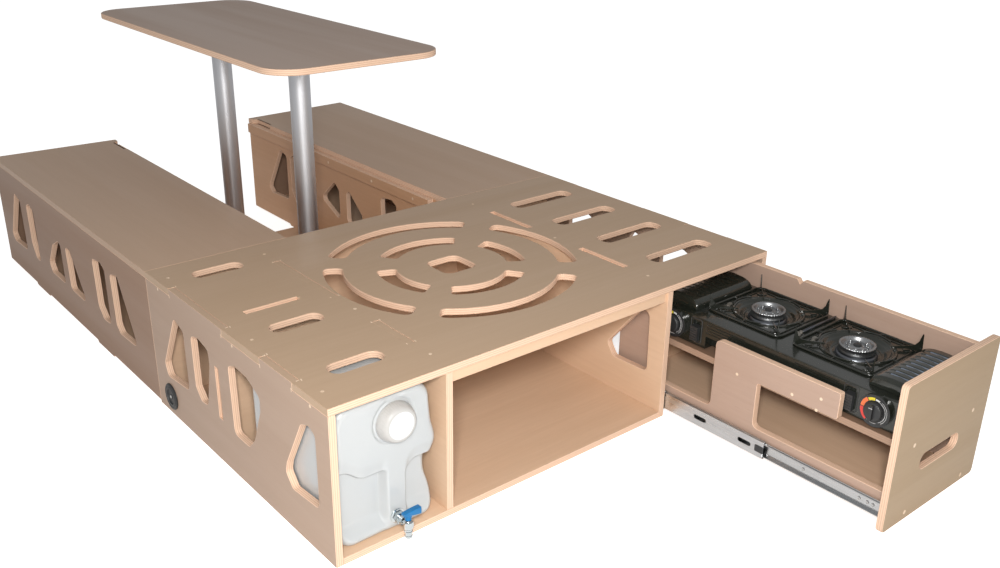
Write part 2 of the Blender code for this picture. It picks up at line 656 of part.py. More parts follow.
def build_inner_walls():
    """Divider beside the canister, partition beside the drawer, and the wall behind the canister."""
    depth = BOX_DEPTH - SHEET - FIT
    tabs = tab_spans(SIDE_TAB_SHARES, BOX_DEPTH)
    outline = wall_outline(depth, WALL_HEIGHT - SHEET - FIT, tabs, SHEET + FIT - TAB_SINK)
    add_object("box_divider", plate(outline, (), SHEET, "side"),
               (LEFT + DIVIDER_PLACE, FRONT, SHEET + FIT), BIRCH)

    tabs = tab_spans(PARTITION_TAB_SHARES, BOX_DEPTH)
    outline = wall_outline(depth, WALL_HEIGHT, tabs, SHEET + FIT - DEEP_TAB_SINK)
    holes = board_cutouts(PARTITION_PLACE_SHARES, BOX_DEPTH, WALL_HEIGHT)
    add_object("box_partition", plate(outline, holes, SHEET, "side"),
               (LEFT + PARTITION_PLACE, FRONT, 0.0), BIRCH)

    width = DIVIDER_PLACE - SHEET - 2 * FIT
    height = WALL_HEIGHT - SHEET - FIT
    outline = wall_outline(width, height, tab_spans(WALL_TAB_SHARES, DIVIDER_PLACE - SHEET),
                           SHEET + FIT - DEEP_TAB_SINK)
    low = WALL_SIDE_TAB_LOW_SHARE * WALL_HEIGHT - SHEET - FIT
    high = WALL_SIDE_TAB_HIGH_SHARE * WALL_HEIGHT - SHEET - FIT
    reach = SHEET + FIT - DEEP_TAB_SINK
    outline += [(0.0, high), (-reach, high), (-reach, low), (0.0, low)]
    add_object("box_tank_wall", plate(outline, (), SHEET, "cross"),
               (LEFT + SHEET + FIT, FRONT + TANK_WALL_PLACE, SHEET + FIT), BIRCH)


def build_front_rail():
    """Low rail that stiffens the top board over the open bay."""
    width = PARTITION_PLACE - DIVIDER_PLACE - SHEET - 2 * FIT
    place = (LEFT + DIVIDER_PLACE + SHEET + FIT, FRONT + RAIL_SETBACK, WALL_HEIGHT - RAIL_HEIGHT)
    add_object("box_front_rail", plate(rectangle(width, RAIL_HEIGHT), (), SHEET, "cross"), place, BIRCH)


def top_outline():
    """Top board with notches at both ends, where the sides' tabs come up."""
    tabs = tab_spans(SIDE_TAB_SHARES, BOX_DEPTH)
    deep = SHEET + FIT
    points = [(0.0, 0.0), (BOX_WIDTH, 0.0)]
    for start, end in tabs:
        points += [(BOX_WIDTH, start - FIT), (BOX_WIDTH - deep, start - FIT),
                   (BOX_WIDTH - deep, end + FIT), (BOX_WIDTH, end + FIT)]
    points += [(BOX_WIDTH, BOX_DEPTH), (0.0, BOX_DEPTH)]
    for start, end in reversed(tabs):
        points += [(0.0, end + FIT), (deep, end + FIT), (deep, start - FIT), (0.0, start - FIT)]
    return points


def top_mortises():
    """Slits in the top board for the tabs of the boards under it."""
    slits = []
    wide = SHEET + 2 * FIT
    for place, shares in ((DIVIDER_PLACE, SIDE_TAB_SHARES), (PARTITION_PLACE, PARTITION_TAB_SHARES)):
        for start, end in tab_spans(shares, BOX_DEPTH):
            slits.append(rectangle(wide, end - start + 2 * FIT, place - FIT, start - FIT))
    for start, end in tab_spans(WALL_TAB_SHARES, DIVIDER_PLACE - SHEET):
        slits.append(rectangle(end - start + 2 * FIT, wide, SHEET + start, TANK_WALL_PLACE - FIT))
    return slits


def top_vents():
    """Broken rings, centre window and rows of slots."""
    centre = (RING_CENTRE_X, RING_CENTRE_Y)
    vents = []
    rings = ((OUTER_RING_SHARE, OUTER_RING_SPANS_DEG), (INNER_RING_SHARE, INNER_RING_SPANS_DEG))
    for ring_share, spans in rings:
        for start, end in spans:
            vents.append(arc_slot(centre, ring_share * RING_SPACE, RING_SLOT_SHARE * RING_SPACE, start, end))
    size = WINDOW_SHARE * RING_SPACE
    vents.append(fillet(rectangle(size, size, centre[0] - size / 2, centre[1] - size / 2), SLOT_RADIUS))
    rows = ((LEFT_SLOT_SHARES, SHEET, CANISTER_BAY_WIDTH, LEFT_SLOT_SPAN_SHARES, LEFT_SLOT_WIDTH),
            (RIGHT_SLOT_SHARES, PARTITION_PLACE + SHEET, DRAWER_BAY_WIDTH, RIGHT_SLOT_SPAN_SHARES,
             RIGHT_SLOT_WIDTH))
    for shares, bay_left, bay_width, span_shares, width in rows:
        place = bay_left + span_shares[0] * bay_width
        length = (span_shares[1] - span_shares[0]) * bay_width
        for share in shares:
            bottom = share * BOX_DEPTH - width / 2
            vents.append(fillet(rectangle(length, width, place, bottom), SLOT_RADIUS))
    return vents


def build_top():
    """Top board over the whole main box."""
    bm = plate(top_outline(), top_mortises() + top_vents(), SHEET, "flat")
    add_object("box_top", bm, (LEFT, FRONT, BOX_HEIGHT - SHEET), SATIN_BIRCH)


def build_inlet():
    """Round inlet with a dished face, set in the left side."""
    face = -INLET_FLANGE_THICKNESS - FIT
    dish = INLET_DISH_DIAMETER / 2
    neck = INLET_NECK_DIAMETER / 2
    profile = [(0.0, face + INLET_DISH_DEPTH), (dish, face + INLET_DISH_DEPTH), (dish, face),
               (INLET_DIAMETER / 2, face), (INLET_DIAMETER / 2, -FIT), (neck, -FIT),
               (neck, INLET_LENGTH), (0.0, INLET_LENGTH)]
    bm = turned(profile, "X", SMALL_ROUND_FACETS)
    add_object("side_inlet", bm, (LEFT, FRONT + INLET_PLACE, INLET_PLACE_Z), BLACK_PLASTIC, smooth=True)


def build_main_box():
    """Every board of the main box."""
    build_base()
    build_sides()
    build_back()
    build_inner_walls()
    build_front_rail()
    build_top()
    build_inlet()


# Benches

def bench_side_outline():
    """Upright bench board that stands on two shallow feet."""
    length = BENCH_RUN
    points = [(0.0, FOOT_HEIGHT)]
    for share in FOOT_SHARES:
        start = share * length
        points += [(start, FOOT_HEIGHT), (start + FOOT_HEIGHT, 0.0),
                   (start + FOOT_LENGTH - FOOT_HEIGHT, 0.0), (start + FOOT_LENGTH, FOOT_HEIGHT)]
    points += [(length, FOOT_HEIGHT), (length, WALL_HEIGHT), (0.0, WALL_HEIGHT)]
    return points


def lid_outline(width):
    """Lid with a finger notch and a small tip at its far inner corner, inner edge at +X."""
    length = BENCH_RUN
    notch_end = length - LID_TIP_LENGTH
    notch_start = notch_end - LID_NOTCH_LENGTH
    inner = [(width, 0.0), (width, notch_start), (width - LID_NOTCH_DEPTH, notch_start + LID_NOTCH_DEPTH),
             (width - LID_NOTCH_DEPTH, notch_end - LID_NOTCH_RADIUS), (width + LID_TIP_REACH, notch_end),
             (width + LID_TIP_REACH, length)]
    return [(0.0, 0.0)] + inner[:1] + fillet(inner[1:], LID_NOTCH_RADIUS)[1:] + [(0.0, length)]


def mirrored(points, width):
    """Mirror an outline across a board of the given width."""
    return [(width - u, v) for u, v in reversed(points)]


def build_bench(side, outer, width, inward):
    """One storage bench: outer is the X of its outer face, inward is +1 or -1."""
    outline = bench_side_outline()
    outer_low = min(outer, outer + inward * SHEET)
    inner_face = outer + inward * width
    inner_low = min(inner_face, inner_face - inward * SHEET)
    holes = board_cutouts(OUTER_BENCH_PLACE_SHARES, BENCH_RUN, WALL_HEIGHT)
    add_object(side + "_bench_outer_side", plate(outline, holes, SHEET, "side"),
               (outer_low, BENCH_FRONT, 0.0), BIRCH)
    holes = board_cutouts(INNER_BENCH_PLACE_SHARES, BENCH_RUN, WALL_HEIGHT)
    add_object(side + "_bench_inner_side", plate(outline, holes, SHEET, "side"),
               (inner_low, BENCH_FRONT, 0.0), BIRCH)

    inside = min(outer, inner_face) + SHEET + FIT
    inner_width = width - 2 * (SHEET + FIT)
    floor_top = BENCH_FLOOR_HEIGHT + SHEET
    ends = rectangle(inner_width, WALL_HEIGHT - floor_top - FIT)
    end_places = (("_bench_near_end", BENCH_FRONT), ("_bench_far_end", BENCH_FRONT + BENCH_RUN - SHEET))
    for name, place_y in end_places:
        add_object(side + name, plate(ends, (), SHEET, "cross"), (inside, place_y, floor_top + FIT), BIRCH)
    add_object(side + "_bench_floor", plate(rectangle(inner_width, BENCH_RUN), (), SHEET, "flat"),
               (inside, BENCH_FRONT, BENCH_FLOOR_HEIGHT), BIRCH)

    outline = lid_outline(width)
    lid_left = outer
    if inward < 0:
        outline = mirrored(outline, width)
        lid_left = inner_face
    add_object(side + "_bench_lid", plate(outline, (), SHEET, "flat"),
               (lid_left, BENCH_FRONT, BOX_HEIGHT - SHEET), SATIN_BIRCH)

    ledge_length = BENCH_RUN - LEDGE_NEAR_GAP - LEDGE_FAR_GAP
    ledge_left = min(inner_face + inward * FIT, inner_face + inward * (FIT + LEDGE_WIDTH))
    add_object(side + "_bench_ledge", block(LEDGE_WIDTH, ledge_length, LEDGE_HEIGHT),
               (ledge_left, BENCH_FRONT + LEDGE_NEAR_GAP, WALL_HEIGHT - LEDGE_HEIGHT), BIRCH)


# Table

def socket_profile():
    """Round flange with a hub whose tapered bore takes the leg's end, standing on z = 0."""
    bore_low = LEG_END_DIAMETER / 2 + FIT
    bore_high = LEG_DIAMETER / 2 + FIT
    flange = SOCKET_FLANGE_DIAMETER / 2
    hub = SOCKET_HUB_DIAMETER / 2
    thick = SOCKET_FLANGE_THICKNESS
    return [(0.0, 0.0), (flange, 0.0), (flange, thick / 2), (hub + thick, thick), (hub, 2 * thick),
            (hub, SOCKET_HUB_HEIGHT), (bore_high, SOCKET_HUB_HEIGHT), (bore_low, thick), (0.0, thick)]


def leg_profile(length):
    """Round leg with a tapered end in each socket."""
    taper = SOCKET_HUB_HEIGHT - SOCKET_FLANGE_THICKNESS
    end = LEG_END_DIAMETER / 2
    full = LEG_DIAMETER / 2
    return [(0.0, 0.0), (end, 0.0), (full, taper), (full, length - taper), (end, length), (0.0, length)]


def build_table():
    """Floor plate, sockets, legs and the table board."""
    plate_left = LEFT + LEFT_BENCH_WIDTH + FIT
    plate_width = BOX_WIDTH - LEFT_BENCH_WIDTH - RIGHT_BENCH_WIDTH - 2 * FIT
    bm = plate(rectangle(plate_width, FLOOR_PLATE_LENGTH), (), FLOOR_PLATE_THICKNESS, "flat")
    add_object("floor_plate", bm, (plate_left, BENCH_FRONT, 0.0), BIRCH)

    board_bottom = TABLE_HEIGHT - SHEET
    socket_low = FLOOR_PLATE_THICKNESS + FIT
    socket_high = board_bottom - FIT
    leg_low = socket_low + SOCKET_FLANGE_THICKNESS + FIT
    leg_length = socket_high - SOCKET_FLANGE_THICKNESS - FIT - leg_low
    for name, shift in (("front", -LEG_SPACING / 2), ("rear", LEG_SPACING / 2)):
        spot_y = TABLE_Y + shift
        lower = turned(socket_profile(), "Z", SMALL_ROUND_FACETS)
        add_object("floor_socket_" + name, lower, (TABLE_X, spot_y, socket_low), ALUMINIUM, smooth=True)
        leg = turned(leg_profile(leg_length), "Z", MIDDLE_ROUND_FACETS)
        add_object("table_leg_" + name, leg, (TABLE_X, spot_y, leg_low), ALUMINIUM, smooth=True)
        upper = turned([(radius, -height) for radius, height in socket_profile()], "Z", SMALL_ROUND_FACETS)
        add_object("table_socket_" + name, upper, (TABLE_X, spot_y, socket_high), ALUMINIUM, smooth=True)

    corners = rectangle(TABLE_WIDTH, TABLE_LENGTH, -TABLE_WIDTH / 2, -TABLE_LENGTH / 2)
    bm = plate(fillet(corners, TABLE_CORNER_RADIUS, 3 * FILLET_STEPS), (), SHEET, "flat")
    add_object("table_top", bm, (TABLE_X, TABLE_Y, board_bottom), SATIN_BIRCH)


# Drawer

def low_side_outline():
    """Left drawer side: a low band with a rear post and a raised arm, so the shelf stays open."""
    low = DRAWER_SIDE_LIFT
    top = DRAWER_LOW_SIDE_TOP
    band = DRAWER_BAND_TOP
    rear = DRAWER_LENGTH - REAR_POST_LENGTH
    turns = (((rear, top), CUTOUT_RADIUS), ((rear, band), CUTOUT_RADIUS),
             ((POST_BACK_PLACE, band), CUTOUT_RADIUS), ((POST_BACK_PLACE, top), CUTOUT_RADIUS),
             ((ARM_FRONT_PLACE, top), ARM_RADIUS),
             ((ARM_FRONT_PLACE, DRAWER_ARM_BOTTOM), ARM_RADIUS),
             ((POST_FRONT_PLACE, DRAWER_ARM_BOTTOM), ARM_RADIUS), ((POST_FRONT_PLACE, band), CUTOUT_RADIUS))
    points = [(0.0, low), (DRAWER_LENGTH, low), (DRAWER_LENGTH, top)]
    spots = [(DRAWER_LENGTH, top)] + [spot for spot, radius in turns] + [(0.0, band)]
    for number, (spot, radius) in enumerate(turns, 1):
        trio = [spots[number - 1], spot, spots[number + 1]]
        points += fillet(trio, radius)[FILLET_STEPS + 1:2 * (FILLET_STEPS + 1)]
    return points + [(0.0, band)]


def high_side_outline():
    """Right drawer side: full height, with one small notch in its top edge."""
    low = DRAWER_SIDE_LIFT
    top = DRAWER_HIGH_SIDE_TOP
    notch = [(NOTCH_PLACE + NOTCH_WIDTH, top), (NOTCH_PLACE + NOTCH_WIDTH / 2, top - NOTCH_DEPTH),
             (NOTCH_PLACE, top)]
    return [(0.0, low), (DRAWER_LENGTH, low), (DRAWER_LENGTH, top)] + notch + [(0.0, top)]


def build_drawer_box(axis):
    """Boards of the drawer, hung on its slide axis."""
    outline = low_side_outline()
    add_object("drawer_left_side", plate(outline, (), SHEET, "side"), (DRAWER_LEFT, DRAWER_MOUTH, 0.0),
               BIRCH, axis)
    add_object("drawer_right_side", plate(high_side_outline(), (), SHEET, "side"),
               (DRAWER_RIGHT - SHEET, DRAWER_MOUTH, 0.0), BIRCH, axis)

    back_low = DRAWER_FLOOR_LIFT
    back_y = DRAWER_MOUTH + DRAWER_LENGTH - SHEET
    outline = rectangle(DRAWER_INNER_WIDTH, DRAWER_LOW_SIDE_TOP - back_low)
    add_object("drawer_back", plate(outline, (), SHEET, "cross"), (DRAWER_INNER_LEFT, back_y, back_low),
               BIRCH, axis)
    run = DRAWER_LENGTH - SHEET - FIT
    for name, lift in (("drawer_floor", DRAWER_FLOOR_LIFT), ("stove_shelf", SHELF_LIFT)):
        add_object(name, plate(rectangle(DRAWER_INNER_WIDTH, run), (), SHEET, "flat"),
                   (DRAWER_INNER_LEFT, DRAWER_MOUTH, lift), BIRCH, axis)

    width = RIGHT - PARTITION_RIGHT + DRAWER_FRONT_OVERLAP
    centre = width / 2
    handle = fillet(rectangle(HANDLE_LENGTH, HANDLE_HEIGHT, centre - HANDLE_LENGTH / 2,
                              HANDLE_LIFT - HANDLE_HEIGHT / 2), HANDLE_HEIGHT / 2, 2 * FILLET_STEPS)
    outline = fillet(rectangle(width, DRAWER_FRONT_HEIGHT), DRAWER_FRONT_RADIUS)
    add_object("drawer_front", plate(outline, [handle], SHEET, "cross"),
               (RIGHT - width, DRAWER_MOUTH - FIT - SHEET, DRAWER_FRONT_LIFT), SATIN_BIRCH, axis)


def channel(height, outer_height=0.0):
    """A U channel along Y, its flanges towards +X, with ball races that seat it in the next one."""
    gauge = SLIDE_GAUGE
    half = height / 2
    low = [(0.0, -half), (CHANNEL_DEPTH, -half), (CHANNEL_DEPTH, gauge - half), (gauge, gauge - half)]
    if outer_height:
        race = outer_height / 2 - gauge - FIT
        race_end = RACE_PLACE + RACE_WIDTH
        low[1:1] = [(RACE_PLACE, -half), (RACE_PLACE, -race), (race_end, -race), (race_end, -half)]
    high = [(depth, -lift) for depth, lift in reversed(low)]
    return plate(low + high, (), SLIDE_LENGTH, "cross")


def flipped(bm):
    """Turn a channel round, so its flanges point towards -X."""
    for vert in bm.verts:
        vert.co.x = -vert.co.x
    return bm


def pierce(obj, place):
    """Cut the row of oblong holes through the web of a slide's middle channel."""
    for number, share in enumerate(SLIDE_HOLE_SHARES):
        outline = fillet(rectangle(SLIDE_HOLE_LENGTH, SLIDE_HOLE_HEIGHT, -SLIDE_HOLE_LENGTH / 2,
                                   -SLIDE_HOLE_HEIGHT / 2), SLIDE_HOLE_HEIGHT / 2)
        bm = plate(outline, (), 2 * OVERRUN, "side")
        spot = (place[0] - OVERRUN, place[1] + share * SLIDE_LENGTH, place[2])
        cutter = tool("%s_hole_%d" % (obj.name, number), bm, spot)
        combine(obj, cutter, "DIFFERENCE")


def build_slide(side, cabinet_face, inward, middle_axis, drawer_axis):
    """Three nested channels between the cabinet's wall and the drawer's side."""
    turn = flipped if inward < 0 else (lambda bm: bm)
    height = SLIDE_CENTRE_LIFT
    cabinet_y = FRONT + SLIDE_SETBACK
    middle_y = cabinet_y - DRAWER_TRAVEL / 2
    drawer_y = cabinet_y - DRAWER_TRAVEL
    cabinet_x = cabinet_face + inward * FIT
    middle_x = cabinet_x + inward * (SLIDE_GAUGE + CHANNEL_RUNNING_GAP)
    drawer_x = cabinet_face + inward * (SLIDE_SPACE - FIT)
    add_object("slide_cabinet_" + side, turn(channel(CABINET_CHANNEL_HEIGHT)),
               (cabinet_x, cabinet_y, height), ZINC)
    middle = add_object("slide_middle_" + side, turn(channel(MIDDLE_CHANNEL_HEIGHT, CABINET_CHANNEL_HEIGHT)),
                        (middle_x, middle_y, height), ZINC, middle_axis)
    pierce(middle, (middle_x, middle_y, height))
    inner = channel(DRAWER_CHANNEL_HEIGHT, MIDDLE_CHANNEL_HEIGHT)
    inner = inner if inward < 0 else flipped(inner)
    add_object("slide_drawer_" + side, inner, (drawer_x, drawer_y, height), ZINC, drawer_axis)


def build_drawer():
    """Drawer, its slides and its stove."""
    middle_axis = add_axis("slide_middle_axis", (DRAWER_LEFT + DRAWER_WIDTH / 2, FRONT, SLIDE_CENTRE_LIFT))
    drawer_axis = add_axis("drawer_axis", (DRAWER_LEFT + DRAWER_WIDTH / 2, DRAWER_MOUTH, SLIDE_CENTRE_LIFT))
    build_drawer_box(drawer_axis)
    build_slide("left", PARTITION_RIGHT, 1, middle_axis, drawer_axis)
    build_slide("right", BAY_RIGHT, -1, middle_axis, drawer_axis)
    build_stove(drawer_axis)


# Stove

def build_stove_body(axis):
    """Pressed body with two bowls, two cartridge bays, knob bosses and latch slots."""
    outline = fillet(rectangle(STOVE_DEPTH, STOVE_LENGTH), STOVE_CORNER_RADIUS)
    body = add_object("stove_body", plate(outline, (), STOVE_BODY_HEIGHT, "flat"),
                      (STOVE_FRONT, STOVE_NEAR, STOVE_BOTTOM), BLACK_ENAMEL, axis)
    soften(body, STOVE_EDGE_BEVEL)
    undercut_start = LATCH_END_INSET + UNDERCUT_END_GAP
    undercut = block(UNDERCUT_DEPTH + OVERRUN, STOVE_LENGTH - 2 * undercut_start, UNDERCUT_HEIGHT + OVERRUN)
    spot = (STOVE_FRONT - OVERRUN, STOVE_NEAR + undercut_start, STOVE_BOTTOM - OVERRUN)
    combine(body, tool("stove_undercut", undercut, spot), "DIFFERENCE")
    corners = [(x, y) for x in (STOVE_FOOT_INSET, STOVE_DEPTH - STOVE_FOOT_INSET)
               for y in (STOVE_FOOT_INSET, STOVE_LENGTH - STOVE_FOOT_INSET)]
    for number, (x, y) in enumerate(corners):
        bm = turned(rod(STOVE_FOOT_DIAMETER, -STOVE_FOOT_HEIGHT, OVERRUN), "Z", TINY_ROUND_FACETS)
        combine(body, tool("stove_foot_%d" % number, bm,
                           (STOVE_FRONT + x, STOVE_NEAR + y, STOVE_BOTTOM)), "UNION")
    for number, sign in enumerate((-1, 1)):
        boss = turned(rod(BOSS_DIAMETER, -BOSS_REACH, BOSS_SEAT), "X")
        spot = (STOVE_FRONT, knob_y(sign), STOVE_BOTTOM + KNOB_LIFT)
        combine(body, tool("stove_boss_%d" % number, boss, spot), "UNION")
        spindle_hole = turned(rod(KNOB_SPINDLE_DIAMETER + 2 * FIT, -BOSS_REACH - OVERRUN,
                                  KNOB_SPINDLE_LENGTH - BOSS_REACH), "X", TINY_ROUND_FACETS)
        combine(body, tool("stove_spindle_hole_%d" % number, spindle_hole, spot), "DIFFERENCE")
        spot = (BURNER_X, burner_y(sign), STOVE_TOP)
        combine(body, tool("stove_bowl_%d" % number, turned(bowl_profile()), spot), "DIFFERENCE")
        combine(body, tool("stove_deck_groove_%d" % number, deck_groove(), spot), "DIFFERENCE")
        bay_y = STOVE_MIDDLE + sign * (STOVE_LENGTH / 2 - BAY_END_GAP - BAY_LENGTH / 2) - BAY_LENGTH / 2
        bay = block(BAY_DEPTH, BAY_LENGTH, BAY_SINK + OVERRUN)
        spot = (STOVE_FRONT + BAY_WALL, bay_y, STOVE_TOP - BAY_SINK)
        combine(body, tool("stove_bay_%d" % number, bay, spot), "DIFFERENCE")
        slot = block(LATCH_SLOT_DEPTH + OVERRUN, LATCH_WIDTH + 2 * FIT, LATCH_HEIGHT + LATCH_TRAVEL + 2 * FIT)
        spot = (STOVE_FRONT - OVERRUN, latch_y(sign) - LATCH_WIDTH / 2 - FIT, latch_z() - FIT)
        combine(body, tool("stove_latch_slot_%d" % number, slot, spot), "DIFFERENCE")
        groove_fascia(body, sign)


def bowl_profile():
    """Cutter for a burner's bowl, with a shallow step round its rim."""
    bowl = BOWL_SHARE * BURNER_CELL / 2
    rim = bowl + BOWL_RIM_WIDTH
    return [(0.0, -BOWL_DEPTH), (bowl, -BOWL_DEPTH), (bowl, -BOWL_RIM_DEPTH), (rim, -BOWL_RIM_DEPTH),
            (rim, OVERRUN), (0.0, OVERRUN)]


def deck_groove():
    """Cutter for the square line pressed into the deck inside the pan support."""
    outer = SUPPORT_SIZE - 2 * (SUPPORT_BAR + DECK_GROOVE_MARGIN)
    inner = outer - 2 * DECK_GROOVE_WIDTH
    outline = fillet(rectangle(outer, outer, -outer / 2, -outer / 2), DECK_GROOVE_RADIUS)
    hole = fillet(rectangle(inner, inner, -inner / 2, -inner / 2), DECK_GROOVE_RADIUS - DECK_GROOVE_WIDTH)
    bm = plate(outline, [hole], DECK_GROOVE_DEPTH + OVERRUN, "flat")
    bmesh.ops.translate(bm, verts=bm.verts[:], vec=(0.0, 0.0, -DECK_GROOVE_DEPTH))
    return bm


def groove_fascia(body, sign):
    """Cut one end's row of long level grooves into the front, between its bare middle and the latch."""
    near = FASCIA_BARE_HALF
    far = STOVE_LENGTH / 2 - LATCH_END_INSET - LATCH_WIDTH / 2 - FASCIA_LATCH_GAP
    start = STOVE_MIDDLE + (near if sign > 0 else -far)
    for number in range(FASCIA_GROOVE_COUNT):
        height = STOVE_TOP - FASCIA_GROOVE_DROP - number * FASCIA_GROOVE_PITCH
        bm = block(FASCIA_GROOVE_DEPTH + OVERRUN, far - near, FASCIA_GROOVE_WIDTH)
        cutter = tool("stove_groove_%+d_%d" % (sign, number), bm, (STOVE_FRONT - OVERRUN, start, height))
        combine(body, cutter, "DIFFERENCE")


def burner_y(sign):
    """Middle of a burner along the stove."""
    return STOVE_MIDDLE + sign * BURNER_PLACE_SHARE * BURNER_SPACE


def knob_y(sign):
    """Middle of a gas knob along the stove."""
    return STOVE_MIDDLE + sign * (STOVE_LENGTH / 2 - KNOB_END_INSET)


def latch_y(sign):
    """Middle of a cartridge latch along the stove."""
    return STOVE_MIDDLE + sign * (STOVE_LENGTH / 2 - LATCH_END_INSET)


def latch_z():
    """Lower end of a cartridge latch that is pressed down."""
    return STOVE_BOTTOM + KNOB_LIFT - (LATCH_HEIGHT + LATCH_TRAVEL) / 2


def arch(half, rise):
    """Low arch over the Y axis, fuller than a half ellipse."""
    angles = [math.pi * step / COVER_STEPS for step in range(1, COVER_STEPS)]
    points = [(-half * math.cos(a), rise * math.sqrt(math.sin(a))) for a in angles]
    return [(half, 0.0)] + points[::-1] + [(-half, 0.0)]


def build_cover(name, bay_middle):
    """Arched cartridge cover, hollow below, hinged along its back edge."""
    back_edge = STOVE_FRONT + STOVE_DEPTH - BAY_WALL + COVER_OVERLAP
    place = (back_edge, bay_middle, STOVE_TOP + FIT)
    hinge = add_axis("cartridge_cover_%s_axis" % name, place)
    length = BAY_DEPTH + 2 * COVER_OVERLAP
    half = BAY_LENGTH / 2 + COVER_OVERLAP
    spot = (back_edge - length, bay_middle, STOVE_TOP + FIT)
    cover = add_object("cartridge_cover_" + name, plate(arch(half, COVER_RISE), (), length, "side"), spot,
                       BLACK_ENAMEL, hinge, smooth=True)
    soften(cover, COVER_EDGE_BEVEL)
    wall = COVER_THICKNESS
    hollow = arch(half - wall, COVER_RISE - wall) + [(wall - half, -OVERRUN), (half - wall, -OVERRUN)]
    cutter = tool("cover_hollow_" + name, plate(hollow, (), length - 2 * wall, "side"),
                  (spot[0] + wall, spot[1], spot[2]))
    combine(cover, cutter, "DIFFERENCE")
    pitch = (length - 2 * LOUVRE_END_GAP - LOUVRE_WIDTH) / (LOUVRE_COUNT - 1)
    floor = spot[2] + COVER_RISE - LOUVRE_DEPTH
    for number in range(LOUVRE_COUNT):
        bm = block(LOUVRE_WIDTH, 2 * half, OVERRUN)
        place = (spot[0] + LOUVRE_END_GAP + number * pitch, bay_middle - half, floor)
        combine(cover, tool("cover_louvre_%s_%d" % (name, number), bm, place), "DIFFERENCE")


def burner_profile():
    """Round burner with a dished top and a small hub in the dish."""
    base = BURNER_BASE_SHARE * BURNER_CELL / 2
    head = BURNER_HEAD_SHARE * BURNER_CELL / 2
    dish = BURNER_DISH_SHARE * BURNER_CELL / 2
    hub = BURNER_HUB_SHARE * BURNER_CELL / 2
    floor = BURNER_HEIGHT - BURNER_DISH_DEPTH
    return [(0.0, 0.0), (base, 0.0), (base, BURNER_RIM_HEIGHT / 2), (head, BURNER_RIM_HEIGHT),
            (head, BURNER_HEIGHT), (dish + BURNER_HUB_RISE, BURNER_HEIGHT), (dish, floor), (hub, floor),
            (hub, floor + BURNER_HUB_RISE), (0.0, floor + BURNER_HUB_RISE)]


def cut_ports(burner, place):
    """Cut the flame ports: level bars through the middle notch both sides of the burner's rim."""
    length = BURNER_HEAD_SHARE * BURNER_CELL + 2 * OVERRUN
    for number in range(PORT_BARS):
        bm = block(length, PORT_WIDTH, PORT_DEPTH + OVERRUN)
        shift = (-length / 2, -PORT_WIDTH / 2, BURNER_HEIGHT - PORT_DEPTH)
        bmesh.ops.translate(bm, verts=bm.verts[:], vec=shift)
        bar = tool("%s_port_%d" % (burner.name, number), bm, place)
        bar.rotation_euler.z = math.pi * number / PORT_BARS
        combine(burner, bar, "DIFFERENCE")


def rib_latch(latch, sign):
    """Cut the level grip grooves into a latch's face."""
    pitch = LATCH_HEIGHT / (LATCH_GROOVE_COUNT + 1)
    for number in range(LATCH_GROOVE_COUNT):
        bm = block(LATCH_GROOVE_DEPTH + OVERRUN, LATCH_WIDTH + 2 * OVERRUN, LATCH_GROOVE_WIDTH)
        height = latch_z() + (number + 1) * pitch - LATCH_GROOVE_WIDTH / 2
        spot = (STOVE_FRONT - LATCH_REACH - OVERRUN, latch_y(sign) - LATCH_WIDTH / 2 - OVERRUN, height)
        combine(latch, tool("%s_groove_%d" % (latch.name, number), bm, spot), "DIFFERENCE")


def build_stove_fittings(axis):
    """Burners, pan supports, knobs, latches and cartridge covers."""
    for name, sign in (("near", -1), ("far", 1)):
        place = (BURNER_X, burner_y(sign), STOVE_TOP - BOWL_DEPTH + FIT)
        burner = add_object("burner_" + name, turned(burner_profile(), "Z", SMALL_ROUND_FACETS), place,
                            ALUMINIUM, axis, smooth=True)
        cut_ports(burner, place)
        build_support(name, BURNER_X, burner_y(sign))
        build_knob(name, knob_y(sign))
        latch = block(LATCH_SLOT_DEPTH - FIT + LATCH_REACH, LATCH_WIDTH, LATCH_HEIGHT)
        place = (STOVE_FRONT - LATCH_REACH, latch_y(sign) - LATCH_WIDTH / 2, latch_z())
        rib_latch(add_object("cartridge_latch_" + name, latch, place, BLACK_PLASTIC), sign)
        build_cover(name, STOVE_MIDDLE + sign * (STOVE_LENGTH / 2 - BAY_END_GAP - BAY_LENGTH / 2))


